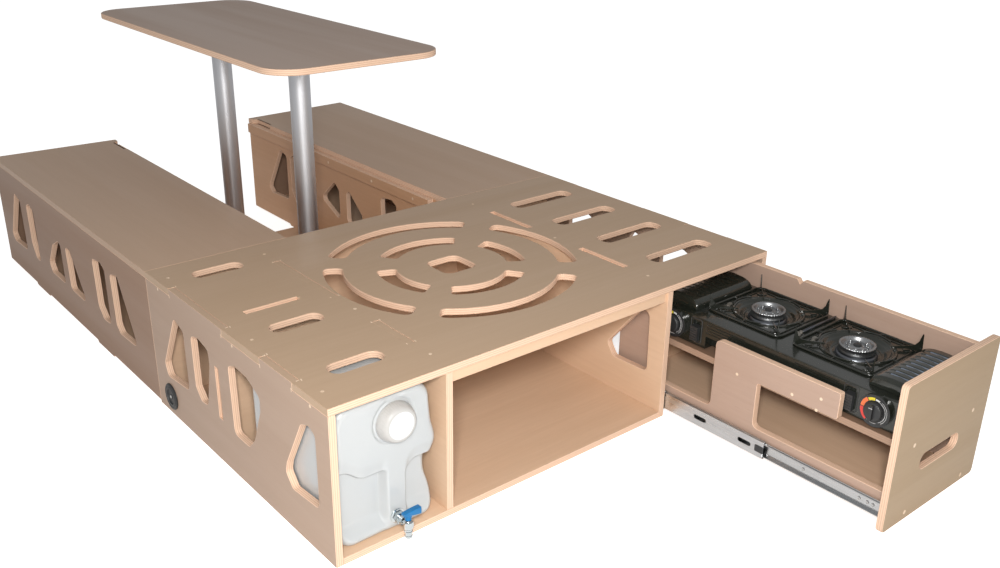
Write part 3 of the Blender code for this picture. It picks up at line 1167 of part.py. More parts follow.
def build_support(name, centre_x, centre_y):
    """Square pan support with an upright prong at each corner."""
    half = SUPPORT_SIZE / 2
    inner = SUPPORT_SIZE - 2 * SUPPORT_BAR
    outline = fillet(rectangle(SUPPORT_SIZE, SUPPORT_SIZE, -half, -half), SUPPORT_CORNER_RADIUS)
    hole = fillet(rectangle(inner, inner, -inner / 2, -inner / 2), SUPPORT_CORNER_RADIUS - SUPPORT_BAR)
    place = (centre_x, centre_y, STOVE_TOP + FIT)
    frame = add_object("pan_support_" + name, plate(outline, [hole], SUPPORT_BAR_THICKNESS, "flat"),
                       place, BLACK_ENAMEL)
    fin = [(0.0, 0.0), (PRONG_LENGTH, 0.0), (PRONG_LENGTH, PRONG_ROOT_HEIGHT),
           (PRONG_SHOULDER_REACH, PRONG_SHOULDER_HEIGHT), (PRONG_TIP, PRONG_HEIGHT), (0.0, PRONG_HEIGHT)]
    corner_reach = math.sqrt(2) * (half - SUPPORT_CORNER_RADIUS) + SUPPORT_CORNER_RADIUS - PRONG_INSET
    for number in range(4):
        bm = plate(fin, (), PRONG_THICKNESS, "cross")
        bmesh.ops.translate(bm, verts=bm.verts[:], vec=(0.0, -PRONG_THICKNESS / 2, 0.0))
        prong = tool("pan_prong_%s_%d" % (name, number), bm, place)
        turn = math.radians(45.0 + 90.0 * number)
        prong.location.x += corner_reach * math.cos(turn)
        prong.location.y += corner_reach * math.sin(turn)
        prong.rotation_euler.z = turn + math.pi
        combine(frame, prong, "UNION")


def build_knob(name, spot_y):
    """Gas knob with a grip bar, on a short spindle."""
    face = STOVE_FRONT - BOSS_REACH - FIT
    axis = add_axis("gas_knob_%s_axis" % name, (face, spot_y, STOVE_BOTTOM + KNOB_LIFT))
    radius = KNOB_DIAMETER / 2
    spindle = KNOB_SPINDLE_DIAMETER / 2
    body = KNOB_LENGTH - KNOB_GRIP_DEPTH
    end = KNOB_SPINDLE_LENGTH - FIT
    profile = [(0.0, -body), (radius * KNOB_FACE_SHARE, -body), (radius, FIT - body * KNOB_RIM_SHARE),
               (radius, 0.0), (spindle, 0.0), (spindle, end), (0.0, end)]
    knob = add_object("gas_knob_" + name, turned(profile, "X", SMALL_ROUND_FACETS), tuple(axis.location),
                      BLACK_PLASTIC, axis, smooth=True)
    grip_height = KNOB_GRIP_SHARE * KNOB_DIAMETER
    grip = block(KNOB_LENGTH - FIT, KNOB_GRIP_WIDTH, grip_height)
    spot = (face - KNOB_LENGTH, spot_y - KNOB_GRIP_WIDTH / 2, axis.location.z - grip_height / 2)
    combine(knob, tool("knob_grip_" + name, grip, spot), "UNION")


def build_stove(axis):
    """The whole twin stove."""
    build_stove_body(axis)
    build_stove_fittings(axis)


# Water canister

def slope(value, start, end):
    """Smooth step that rises from 0 at the start to 1 at the end."""
    share = min(max((value - start) / (end - start), 0.0), 1.0)
    return share * share * (3.0 - 2.0 * share)


def flank_inset(up, waisted):
    """How far a flank of the canister draws in: at its round corners, and at its waists if it has any."""
    inset = 0.0
    for (low, first), (high, second) in zip(FLANK_SHARES, FLANK_SHARES[1:]):
        if waisted and low <= up / CANISTER_HEIGHT <= high:
            inset = first + (second - first) * slope(up / CANISTER_HEIGHT, low, high)
    short = max(CANISTER_CORNER_RADIUS - min(up, CANISTER_HEIGHT - up), 0.0)
    corner = CANISTER_CORNER_RADIUS - math.sqrt(CANISTER_CORNER_RADIUS ** 2 - short ** 2)
    return CANISTER_WAIST * inset + corner


def brow(across):
    """Lower edge of the canister's upper block: level, dipping beside the column, rising at the left edge."""
    level = BROW_SHARE * CANISTER_HEIGHT
    if across > COLUMN_SHIFT:
        dip_start = COLUMN_SHIFT + COLUMN_WIDTH / 2
        return level - BROW_DIP * (1.0 - slope(across, dip_start, dip_start + BROW_DIP_LENGTH))
    rise_start = CANISTER_EDGE - CANISTER_WIDTH / 2
    return level + BROW_RISE * (1.0 - slope(across, rise_start, rise_start + BROW_RISE_LENGTH))


def front_depth(across, up):
    """How far the moulded front lies back: under the brow, beside the column and above the foot."""
    left_end = COLUMN_SHIFT - COLUMN_WIDTH / 2
    right_start = COLUMN_SHIFT + COLUMN_WIDTH / 2
    beside = 1.0 - slope(across, left_end - RECESS_EDGE, left_end) * (1.0 - slope(across, right_start,
                                                                                 right_start + RECESS_EDGE))
    under = 1.0 - slope(up, brow(across) - BROW_HEIGHT, brow(across))
    foot_low, foot_high = RECESS_FOOT_SHARES
    foot = slope(up, foot_low * CANISTER_HEIGHT, foot_high * CANISTER_HEIGHT)
    return RECESS_DEPTH * beside * under * foot


def spaced(start, end, steps):
    """Evenly spaced values after the start, up to and with the end."""
    return [start + (end - start) * (step + 1) / steps for step in range(steps)]


def edge_drops():
    """Setbacks of the rounded edge: how far in and how far back each of its rings lies."""
    turns = [math.pi / 2 * step / SKIN_EDGE_STEPS for step in range(SKIN_EDGE_STEPS + 1)]
    edge = CANISTER_EDGE
    return [(edge * (1.0 - math.cos(turn)), edge * (1.0 - math.sin(turn))) for turn in turns]


def skin_columns():
    """Places across the front where the canister's grid has its columns."""
    half = CANISTER_WIDTH / 2
    left_end = COLUMN_SHIFT - COLUMN_WIDTH / 2
    right_start = COLUMN_SHIFT + COLUMN_WIDTH / 2
    left_steps, middle_steps, right_steps = SKIN_ACROSS_STEPS
    places = [inward - half for inward, back in edge_drops()]
    places += spaced(places[-1], left_end - RECESS_EDGE, left_steps) + [left_end - RECESS_EDGE / 2]
    places += [left_end] + spaced(left_end, right_start, middle_steps)
    right_recess = right_start + RECESS_EDGE
    places += [right_recess - RECESS_EDGE / 2, right_recess]
    places += spaced(right_recess, half - CANISTER_EDGE, right_steps)
    return places + [half - inward for inward, back in reversed(edge_drops()[:-1])]


def skin_rows(across):
    """Heights of the grid's rows in one column, close together at the brow."""
    lower_steps, upper_steps = SKIN_UP_STEPS
    turn_low = brow(across) - BROW_HEIGHT
    rows = [inward for inward, back in edge_drops()]
    rows += spaced(rows[-1], turn_low, lower_steps) + [turn_low + BROW_HEIGHT / 2, turn_low + BROW_HEIGHT]
    rows += spaced(rows[-1], CANISTER_HEIGHT - CANISTER_EDGE, upper_steps)
    return rows + [CANISTER_HEIGHT - inward for inward, back in reversed(edge_drops()[:-1])]


def canister_skin():
    """Closed skin of the canister: a grid over the moulded front, its sides, and a plain back."""
    bm = bmesh.new()
    half = CANISTER_WIDTH / 2
    columns = skin_columns()
    drops = [back for inward, back in edge_drops()]
    last_column = len(columns) - 1
    last_row = len(skin_rows(0.0)) - 1
    front, rear = {}, {}
    for i, across in enumerate(columns):
        for j, up in enumerate(skin_rows(across)):
            ring = min(i, last_column - i, j, last_row - j)
            squeeze = flank_inset(up, across > 0.0) * across * abs(across) / half ** 2
            drop = drops[min(ring, SKIN_EDGE_STEPS)]
            front[i, j] = bm.verts.new((across - squeeze, drop + front_depth(across, up), up))
            if ring <= SKIN_EDGE_STEPS:
                rear[i, j] = bm.verts.new((across - squeeze, CANISTER_DEPTH - drop, up))
    for i in range(last_column):
        for j in range(last_row):
            corners = [(i, j), (i + 1, j), (i + 1, j + 1), (i, j + 1)]
            bm.faces.new([front[spot] for spot in corners])
            if min(i, last_column - 1 - i, j, last_row - 1 - j) < SKIN_EDGE_STEPS:
                bm.faces.new([rear[spot] for spot in reversed(corners)])
    bm.faces.new([rear[spot] for spot in reversed(grid_loop(last_column, last_row, SKIN_EDGE_STEPS))])
    loop = grid_loop(last_column, last_row, 0)
    for spot, after in zip(loop, loop[1:] + loop[:1]):
        bm.faces.new([front[after], front[spot], rear[spot], rear[after]])
    bm.normal_update()
    flat = math.radians(FLAT_ANGLE_DEG)
    bmesh.ops.dissolve_limit(bm, angle_limit=flat, verts=bm.verts[:], edges=bm.edges[:])
    return bm


def grid_loop(last_column, last_row, inset):
    """Grid places round a ring that lies some steps in from the border, anticlockwise."""
    low_i, high_i, low_j, high_j = inset, last_column - inset, inset, last_row - inset
    loop = [(i, low_j) for i in range(low_i, high_i)] + [(high_i, j) for j in range(low_j, high_j)]
    loop += [(i, high_j) for i in range(high_i, low_i, -1)] + [(low_i, j) for j in range(high_j, low_j, -1)]
    return loop


def build_canister():
    """Canister with a moulded front, its screw cap, and its tap with a turning lever."""
    axis = add_axis("canister_axis", (CANISTER_MIDDLE, CANISTER_FACE, CANISTER_BOTTOM))
    body = add_object("water_canister", canister_skin(), (CANISTER_MIDDLE, CANISTER_FACE, CANISTER_BOTTOM),
                      CLOUDY_PLASTIC, axis, smooth=True)
    cap_x = CANISTER_MIDDLE + CAP_SHIFT
    neck = turned(rod(NECK_DIAMETER, -NECK_LENGTH, OVERRUN), "Y")
    combine(body, tool("canister_neck", neck, (cap_x, CANISTER_FACE, CANISTER_BOTTOM + CAP_LIFT)), "UNION")
    build_cap(axis, cap_x)
    build_tap(axis)


def build_cap(axis, cap_x):
    """Screw cap, hollow over the neck."""
    neck = NECK_DIAMETER / 2 + FIT
    top = -CAP_LENGTH
    profile = [(0.0, top), (CAP_FACE_DIAMETER / 2, top), (CAP_DIAMETER / 2, top + CAP_LENGTH / 3),
               (CAP_DIAMETER / 2, -FIT), (neck, -FIT), (neck, -NECK_LENGTH - FIT), (0.0, -NECK_LENGTH - FIT)]
    place = (cap_x, CANISTER_FACE, CANISTER_BOTTOM + CAP_LIFT)
    hinge = add_axis("canister_cap_axis", place)
    bm = turned(profile, "Y", MIDDLE_ROUND_FACETS)
    add_object("canister_cap", bm, place, WHITE_PLASTIC, hinge, smooth=True)


def build_tap(axis):
    """Ball-valve tap and the blue lever on top of it."""
    tap_x = CANISTER_MIDDLE + TAP_SHIFT
    tap_z = CANISTER_BOTTOM + TAP_LIFT
    barrel_y = CANISTER_FACE - TAP_REACH
    stem = TAP_STEM_DIAMETER / 2
    flange = TAP_FLANGE_DIAMETER / 2
    flange_end = -TAP_FLANGE_THICKNESS - FIT
    profile = [(0.0, -TAP_REACH), (stem, -TAP_REACH), (stem, flange_end), (flange, flange_end),
               (flange, -FIT), (0.0, -FIT)]
    tap = add_object("tap_body", turned(profile, "Y", SMALL_ROUND_FACETS), (tap_x, CANISTER_FACE, tap_z),
                     CHROME, axis, smooth=True)
    nut_end = flange_end + TAP_FLANGE_THICKNESS / 2
    nut = turned(rod(TAP_NUT_DIAMETER, flange_end - TAP_NUT_LENGTH, nut_end), "Y", NUT_SIDES)
    combine(tap, tool("tap_nut", nut, (tap_x, CANISTER_FACE, tap_z)), "UNION")
    barrel = TAP_BARREL_DIAMETER / 2
    spout = TAP_SPOUT_DIAMETER / 2
    bore = TAP_BORE_DIAMETER / 2
    profile = [(0.0, TAP_BARREL_RISE), (barrel, TAP_BARREL_RISE), (barrel, -TAP_BARREL_RISE),
               (spout, -TAP_COLLAR_DROP), (spout, -TAP_SPOUT_DROP), (bore, -TAP_SPOUT_DROP),
               (bore, TAP_BORE_DEPTH - TAP_SPOUT_DROP), (0.0, TAP_BORE_DEPTH - TAP_SPOUT_DROP)]
    bm = turned(profile, "Z", SMALL_ROUND_FACETS)
    combine(tap, tool("tap_barrel", bm, (tap_x, barrel_y, tap_z)), "UNION")

    lever_z = tap_z + TAP_BARREL_RISE + FIT
    hinge = add_axis("tap_lever_axis", (tap_x, barrel_y, lever_z))
    stem = rod(LEVER_STEM_DIAMETER, 0.0, LEVER_STEM_LENGTH + LEVER_HEIGHT / 2)
    bm = turned(stem, "Z", SMALL_ROUND_FACETS)
    lever = add_object("tap_lever", bm, tuple(hinge.location), BLUE_PLASTIC, hinge, smooth=True)
    outline = [((along - LEVER_BACK_SHARE) * LEVER_LENGTH, up * LEVER_HEIGHT)
               for along, up in LEVER_SIDE_SHARES]
    paddle = plate(outline, (), LEVER_WIDTH, "cross")
    place = (tap_x, barrel_y - LEVER_WIDTH / 2, lever_z + LEVER_STEM_LENGTH)
    combine(lever, tool("tap_paddle", paddle, place), "UNION")


def main():
    """Build the whole camping box."""
    clear_scene()
    build_main_box()
    build_bench("left", LEFT, LEFT_BENCH_WIDTH, 1)
    build_bench("right", RIGHT, RIGHT_BENCH_WIDTH, -1)
    build_table()
    build_drawer()
    build_canister()


main()
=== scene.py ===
"""Looks of a plywood camping box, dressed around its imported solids.

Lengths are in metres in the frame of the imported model: X runs along the open front from the
canister to the drawer, Y runs back over the benches and Z is up. Every new piece is a surface
worked out with numpy, and the boards are rounded copies of their solids.
"""
import logging
import math
from dataclasses import dataclass, field
from enum import Enum

import bmesh
import bpy
import numpy as np
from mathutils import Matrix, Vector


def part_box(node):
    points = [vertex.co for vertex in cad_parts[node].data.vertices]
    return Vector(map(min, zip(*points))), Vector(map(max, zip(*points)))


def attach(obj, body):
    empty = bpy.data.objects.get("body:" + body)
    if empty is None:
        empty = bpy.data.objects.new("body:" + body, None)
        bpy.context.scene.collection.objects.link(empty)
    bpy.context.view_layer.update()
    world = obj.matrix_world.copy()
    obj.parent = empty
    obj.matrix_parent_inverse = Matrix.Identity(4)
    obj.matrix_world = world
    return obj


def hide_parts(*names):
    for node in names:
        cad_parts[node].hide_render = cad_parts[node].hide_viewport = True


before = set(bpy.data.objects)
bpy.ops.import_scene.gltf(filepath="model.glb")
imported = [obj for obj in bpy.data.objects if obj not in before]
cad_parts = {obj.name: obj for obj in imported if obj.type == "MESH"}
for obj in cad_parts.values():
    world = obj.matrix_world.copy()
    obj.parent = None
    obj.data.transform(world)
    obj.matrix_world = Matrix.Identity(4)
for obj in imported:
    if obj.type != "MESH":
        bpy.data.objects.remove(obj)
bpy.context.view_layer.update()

LOG = logging.getLogger("camping_box")
BOX_LEFT = -0.595
BOX_FRONT = -0.3825
GRAIN_ACROSS, GRAIN_ALONG = 95.0, 5.0
LINES_ACROSS, LINES_ALONG = 1400.0, 12.0
BEVEL_ANGLE_DEG = 40.0
Colour = tuple[float, float, float]
Point = tuple[float, float, float]


class Axis(Enum):
    """A direction of the frame."""

    X = 0
    Y = 1
    Z = 2


# Surfaces

@dataclass
class Skin:
    """Points and faces of a surface, held as whole arrays."""

    points: np.ndarray
    faces: list[np.ndarray]

    def moved(self, shift: Point) -> "Skin":
        """Carry the surface along a shift."""
        return Skin(self.points + np.asarray(shift, float), self.faces)

    def scaled(self, factors: Point) -> "Skin":
        """Stretch the surface by a factor along each axis; all factors are positive."""
        return Skin(self.points * np.asarray(factors, float), self.faces)

    def spun(self, axis: Axis, degrees: float) -> "Skin":
        """Turn the surface about an axis through the origin.

        Args:
            axis: the axis to turn about.
            degrees: the angle, by the right hand rule.

        Returns:
            The surface with every point multiplied by the turning matrix.
        """
        a, b = [(1, 2), (2, 0), (0, 1)][axis.value]
        c, s = math.cos(math.radians(degrees)), math.sin(math.radians(degrees))
        points = self.points.copy()
        points[:, a] = self.points[:, a] * c - self.points[:, b] * s
        points[:, b] = self.points[:, a] * s + self.points[:, b] * c
        return Skin(points, self.faces)

    def upright_to(self, axis: Axis, sign: int = 1) -> "Skin":
        """Turn the surface's own Z to an axis of the frame, or against it."""
        if axis is Axis.X:
            return self.spun(Axis.Y, 90.0 * sign)
        if axis is Axis.Y:
            return self.spun(Axis.X, -90.0 * sign)
        return self if sign > 0 else self.spun(Axis.X, 180.0)

    def reordered(self, order: tuple[int, int, int], signs: Point = (1.0, 1.0, 1.0)) -> "Skin":
        """Take the axes in another order, each with a sign, and face the surface outwards again."""
        return Skin(self.points[:, list(order)] * np.asarray(signs), self.faces).outward()

    def outward(self) -> "Skin":
        """Flip the faces of a closed surface whose signed volume is negative.

        Returns:
            The same surface, whose fans of triangles add up to a positive volume.
        """
        volume = 0.0
        for block in self.faces:
            corners = self.points[block]
            for k in range(1, block.shape[1] - 1):
                volume += np.einsum("ij,ij->", corners[:, 0], np.cross(corners[:, k], corners[:, k + 1]))
        if volume < 0.0:
            return Skin(self.points, [block[:, ::-1] for block in self.faces])
        return self


def joined(skins: list[Skin]) -> Skin:
    """Put several surfaces into one, with their face numbers shifted on."""
    starts = np.cumsum([0] + [len(skin.points) for skin in skins])
    faces = [block + start for skin, start in zip(skins, starts) for block in skin.faces]
    return Skin(np.vstack([skin.points for skin in skins]), faces)


def grid_faces(rows: int, columns: int, round_rows: bool = False, round_columns: bool = False) -> np.ndarray:
    """Quads of a grid of points, closed round its rows or columns where asked.

    Args:
        rows: points down the grid.
        columns: points across the grid.
        round_rows: the last row joins the first.
        round_columns: the last column joins the first.

    Returns:
        An array of four point numbers for each quad.
    """
    down = np.arange(rows if round_rows else rows - 1)
    across = np.arange(columns if round_columns else columns - 1)
    a, b = np.meshgrid(down, across, indexing="ij")
    c, d = (a + 1) % rows, (b + 1) % columns
    corners = (a * columns + b, a * columns + d, c * columns + d, c * columns + b)
    return np.stack(corners, axis=-1).reshape(-1, 4)


def welded(skin: Skin, step: float = 1e-6) -> Skin:
    """Merge points that share a place, and drop the faces that this folds up.

    Args:
        skin: the surface, of triangles or quads.
        step: how close two points are when they count as one.

    Returns:
        The surface with each place held once: quads that lost a corner become triangles.
    """
    keys = np.round(skin.points / step).astype(np.int64)
    _, first, back = np.unique(keys, axis=0, return_index=True, return_inverse=True)
    back = back.reshape(-1)
    blocks = []
    for block in skin.faces:
        block = back[block]
        if block.shape[1] > 4:
            blocks.append(block)
            continue
        same = block == np.roll(block, -1, axis=1)
        blocks.append(block[~same.any(axis=1)])
        if block.shape[1] == 4:
            short = block[same.sum(axis=1) == 1]
            gone = same[same.sum(axis=1) == 1]
            blocks.append(short[~gone].reshape(-1, 3))
    return Skin(skin.points[first], [block for block in blocks if len(block)])


def waved(radii: np.ndarray, heights: np.ndarray, draw: np.ndarray, waves: int, facets: int,
          drop: float = 0.0) -> Skin:
    """Turn a profile about Z, drawn in by half of one plus the cosine of waves times the angle.

    Args:
        radii: radius of each point of a profile that starts and ends on the axis.
        heights: height of each point.
        draw: how far the wave draws each point in.
        waves: waves round the axis.
        facets: points round the axis.
        drop: how far the wave also lowers a point, as a share of its draw.

    Returns:
        The closed surface, its poles welded and its faces outwards.
    """
    angles = np.arange(facets) * (math.tau / facets)
    wave = draw[:, None] * (0.5 + 0.5 * np.cos(waves * angles))
    spread = radii[:, None] - wave
    points = np.stack([spread * np.cos(angles), spread * np.sin(angles), heights[:, None] - drop * wave],
                      axis=-1)
    return welded(Skin(points.reshape(-1, 3), [grid_faces(len(radii), facets, False, True)])).outward()


def lathe(profile: list[tuple[float, float]], facets: int = 48) -> Skin:
    """Turn a profile of (radius, height) about Z, from the axis back to it."""
    line = np.asarray(profile, float)
    return waved(line[:, 0], line[:, 1], np.zeros(len(line)), 0, facets)


def ring(profile: np.ndarray, facets: int = 48) -> Skin:
    """Turn a closed profile of (radius, height) about Z into a ring without poles."""
    angles = np.arange(facets) * (math.tau / facets)
    radius, height = profile[:, :1], profile[:, 1:]
    points = np.stack([radius * np.cos(angles), radius * np.sin(angles),
                       height + 0.0 * angles], axis=-1).reshape(-1, 3)
    return Skin(points, [grid_faces(len(profile), facets, True, True)]).outward()


def tube(path: np.ndarray, radius: float, up: Point, closed: bool, sides: int = 10,
         flatten: float = 1.0) -> Skin:
    """Carry a circle along a path: each point is the path plus radius times (side cos + lift sin).

    Args:
        path: the centre line, one point a row.
        radius: radius of the circle, drawn in to a rounded end where the path is open.
        up: a direction that the path never follows, which sets the circle's turn.
        closed: the path's end joins its start.
        sides: points round the circle.
        flatten: height of the section as a share of its width.

    Returns:
        The closed surface of the tube.
    """
    spread = np.full(len(path), radius)
    if not closed:
        turns = np.linspace(0.0, math.pi / 2, 5)[:-1]
        start, end = path[0] - path[1], path[-1] - path[-2]
        start, end = start / np.linalg.norm(start), end / np.linalg.norm(end)
        head = path[0] + start * radius * (np.cos(turns)[:, None] - 1.0)
        tail = path[-1] + end * radius * (np.cos(turns[::-1])[:, None] - 1.0)
        path = np.vstack([head, path[1:-1], tail])
        spread = np.concatenate([radius * np.sin(turns), spread[1:-1], radius * np.sin(turns[::-1])])
    ahead = np.roll(path, -1, axis=0) - np.roll(path, 1, axis=0) if closed else np.gradient(path, axis=0)
    if not closed:
        ahead[:4], ahead[-4:] = ahead[4], ahead[-5]
    ahead = ahead / np.linalg.norm(ahead, axis=1, keepdims=True)
    side = np.cross(ahead, np.asarray(up, float))
    side = side / np.linalg.norm(side, axis=1, keepdims=True)
    lift = np.cross(side, ahead) * flatten
    angles = np.arange(sides) * (math.tau / sides)
    reach = spread[:, None, None]
    across, over = np.cos(angles)[:, None], np.sin(angles)[:, None]
    points = path[:, None] + reach * (side[:, None] * across + lift[:, None] * over)
    return welded(Skin(points.reshape(-1, 3), [grid_faces(len(path), sides, closed, True)])).outward()


def prism(outline: np.ndarray, low: float, high: float) -> Skin:
    """Lift a flat outline of (x, y) points from one height to another."""
    count = len(outline)
    floor = np.column_stack([outline, np.full(count, low)])
    roof = np.column_stack([outline, np.full(count, high)])
    numbers = np.arange(count)
    after = (numbers + 1) % count
    walls = np.stack([numbers, after, after + count, numbers + count], axis=-1)
    caps = [numbers[::-1].reshape(1, -1), (numbers + count).reshape(1, -1)]
    return Skin(np.vstack([floor, roof]), [walls] + caps).outward()


def rounded_rectangle(width: float, height: float, radius: float, steps: int = 6) -> np.ndarray:
    """Outline of a rectangle about the origin, each corner a quarter circle.

    Args:
        width: size along the first axis.
        height: size along the second axis.
        radius: radius of the corners.
        steps: chords in each corner.

    Returns:
        Points anticlockwise: each corner's centre plus radius times (cos a, sin a).
    """
    turns = np.linspace(0.0, math.pi / 2, steps + 1)
    quarters = np.arange(4)[:, None]
    angles = quarters * (math.pi / 2) + turns
    signs = np.array([[1, 1], [-1, 1], [-1, -1], [1, -1]], float)
    centres = signs * np.array([width / 2 - radius, height / 2 - radius])
    points = centres[:, None] + radius * np.stack([np.cos(angles), np.sin(angles)], axis=-1)
    return points.reshape(-1, 2)


def ease(value: np.ndarray, low: float, high: float) -> np.ndarray:
    """Smooth step from 0 at low to 1 at high: t times t times (3 less 2 t)."""
    t = np.clip((value - low) / (high - low), 0.0, 1.0)
    return t * t * (3.0 - 2.0 * t)


def gathered(items: object, key: str, width: int, kind: type = float) -> np.ndarray:
    """Read one property of a mesh's items into an array, with a row each where it is wider than one."""
    values = np.empty(len(items) * width, kind)
    items.foreach_get(key, values)
    return values.reshape(-1, width) if width > 1 else values


def solid_skin(node: str) -> Skin:
    """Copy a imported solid's triangles and weld them, with the solid itself left alone."""
    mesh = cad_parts[node].data
    mesh.calc_loop_triangles()
    corners = gathered(mesh.loop_triangles, "vertices", 3, np.int32)
    return welded(Skin(gathered(mesh.vertices, "co", 3), [corners]), 2e-6)


def new_mesh(name: str, skin: Skin) -> bpy.types.Mesh:
    """Put a surface into a mesh."""
    mesh = bpy.data.meshes.new(name)
    mesh.from_pydata(skin.points.tolist(), [], [face for block in skin.faces for face in block.tolist()])
    return mesh


def make_piece(name: str, skin: Skin, body: str, material: bpy.types.Material,
               smooth_deg: float = 38.0) -> bpy.types.Object:
    """Put a surface into an object that rides on a body.

    Args:
        name: the piece's name.
        skin: its surface, in place in the frame.
        body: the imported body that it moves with.
        material: its finish.
        smooth_deg: edges sharper than this stay crisp.

    Returns:
        The object, at the origin and unturned.
    """
    mesh = new_mesh(name, skin)
    mesh.update()
    mesh.shade_smooth()
    mesh.set_sharp_from_angle(angle=math.radians(smooth_deg))
    mesh.materials.append(material)
    piece = bpy.data.objects.new(name, mesh)
    bpy.context.scene.collection.objects.link(piece)
    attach(piece, body)
    return piece


def hole_rims(work: bmesh.types.BMesh, through: int, level: float) -> list[list[bmesh.types.BMEdge]]:
    """Rims of a board's outlines in one face, each a connected run of sharp edges at that level."""
    rim = {edge for edge in work.edges if all(abs(vert.co[through] - level) < 1e-5 for vert in edge.verts)
           and edge.calc_face_angle(0.0) > math.radians(50.0)}
    groups = []
    while rim:
        waiting, group = [rim.pop()], []
        while waiting:
            edge = waiting.pop()
            group.append(edge)
            near = {other for vert in edge.verts for other in vert.link_edges} & rim
            rim -= near
            waiting.extend(near)
        groups.append(group)
    return groups


def crossing_places(groups: list[list[bmesh.types.BMEdge]], along: int, clear: float = 0.0045) -> list[float]:
    """Choose where straight cuts cross a board so that each cut-out is met by one.

    Args:
        groups: rims of the cut-outs and of the board itself.
        along: the axis that the cuts stand across.
        clear: least distance from a cut to any edge that runs nearly along it.

    Returns:
        Places along the axis, none of them close to an edge that the cut would run beside.
    """
    spans, barred = [], []
    for group in groups:
        ends = np.array([[vert.co[:] for vert in edge.verts] for edge in group])
        spans.append((ends[..., along].min(), ends[..., along].max()))
        run = ends[:, 1] - ends[:, 0]
        beside = np.abs(run[:, along]) < 0.35 * np.linalg.norm(run, axis=1)
        barred.append(np.column_stack([ends[beside][..., along].min(axis=1),
                                       ends[beside][..., along].max(axis=1)]))
    barred = np.vstack(barred)
    spans.remove(max(spans, key=lambda span: span[1] - span[0]))
    places: list[float] = []
    for low, high in sorted(spans, key=lambda span: span[1] - span[0]):
        inset = (high - low) * 0.22
        if any(low + inset < place < high - inset for place in places):
            continue
        tries = np.linspace(low + inset, high - inset, 61)
        room = np.maximum(barred[None, :, 0] - tries[:, None],
                          tries[:, None] - barred[None, :, 1]).min(axis=1)
        if places:
            room = np.minimum(room, np.abs(tries[:, None] - np.array(places)[None, :]).min(axis=1))
        middle = np.abs(tries - (low + high) / 2)
        places.append(float(tries[np.argmin(np.where(room > clear, middle, 10.0 - room))]))
    return places


def flatten(mesh: bpy.types.Mesh, through: Axis | None = None, smooth_deg: float = 45.0) -> None:
    """Join the triangles of every flat face of a copied solid, so that a bevel never folds a thin one.

    Args:
        mesh: the copy.
        through: the axis through a board, whose faces are also cut straight across each
            cut-out so that none keeps a slanting joint.
        smooth_deg: edges sharper than this stay crisp.
    """
    work = bmesh.new()
    work.from_mesh(mesh)
    limit = {"angle_limit": math.radians(0.3), "use_dissolve_boundaries": False}
    bmesh.ops.dissolve_limit(work, verts=work.verts[:], edges=work.edges[:], **limit)
    if through is not None:
        spots = np.array([vert.co[:] for vert in work.verts])
        size = np.ptp(spots, axis=0)
        size[through.value] = 0.0
        along = int(np.argmax(size))
        groups = hole_rims(work, through.value, float(spots[:, through.value].max()))
        for place in crossing_places(groups, along) if len(groups) > 1 else []:
            spot, normal = [0.0, 0.0, 0.0], [0.0, 0.0, 0.0]
            spot[along], normal[along] = place, 1.0
            made = bmesh.ops.bisect_plane(work, geom=work.verts[:] + work.edges[:] + work.faces[:], dist=1e-6,
                                          plane_co=spot, plane_no=normal)
            for item in made["geom_cut"]:
                if isinstance(item, bmesh.types.BMEdge):
                    item.seam = True
        bmesh.ops.dissolve_limit(work, verts=work.verts[:], edges=work.edges[:], delimit={"SEAM"}, **limit)
    work.to_mesh(mesh)
    work.free()
    mesh.update()
    mesh.set_sharp_from_angle(angle=math.radians(smooth_deg))


def soften(piece: bpy.types.Object, width: float, segments: int = 2) -> None:
    """Round a piece's sharp edges with a live bevel."""
    bevel = piece.modifiers.new("Soft edges", "BEVEL")
    bevel.width = width
    bevel.segments = segments
    bevel.limit_method = "ANGLE"
    bevel.angle_limit = math.radians(BEVEL_ANGLE_DEG)
    bevel.harden_normals = True
    bevel.use_clamp_overlap = True


def dress(name: str, skin: Skin, body: str, finish: "SkinFinish", smooth_deg: float = 38.0, node: str = "",
          soft: float = 0.0) -> bpy.types.Object:
    """Make a piece in a finish.

    Args:
        name: the piece's name.
        skin: its surface.
        body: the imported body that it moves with.
        finish: its finish, which also knows its usual slot.
        smooth_deg: edges sharper than this stay crisp.
        node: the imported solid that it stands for, if any.
        soft: width of a bevel on its sharp edges, if any.

    Returns:
        The object.
    """
    piece = make_piece(name, skin, body, finish.material(), smooth_deg)
    if soft:
        soften(piece, soft)
    if node:
        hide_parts(node)
    return piece


def midpoint(node: str) -> Point:
    """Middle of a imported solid's box."""
    low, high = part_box(node)
    return (low.x + high.x) / 2, (low.y + high.y) / 2, (low.z + high.z) / 2


# Shader desk and shared effects

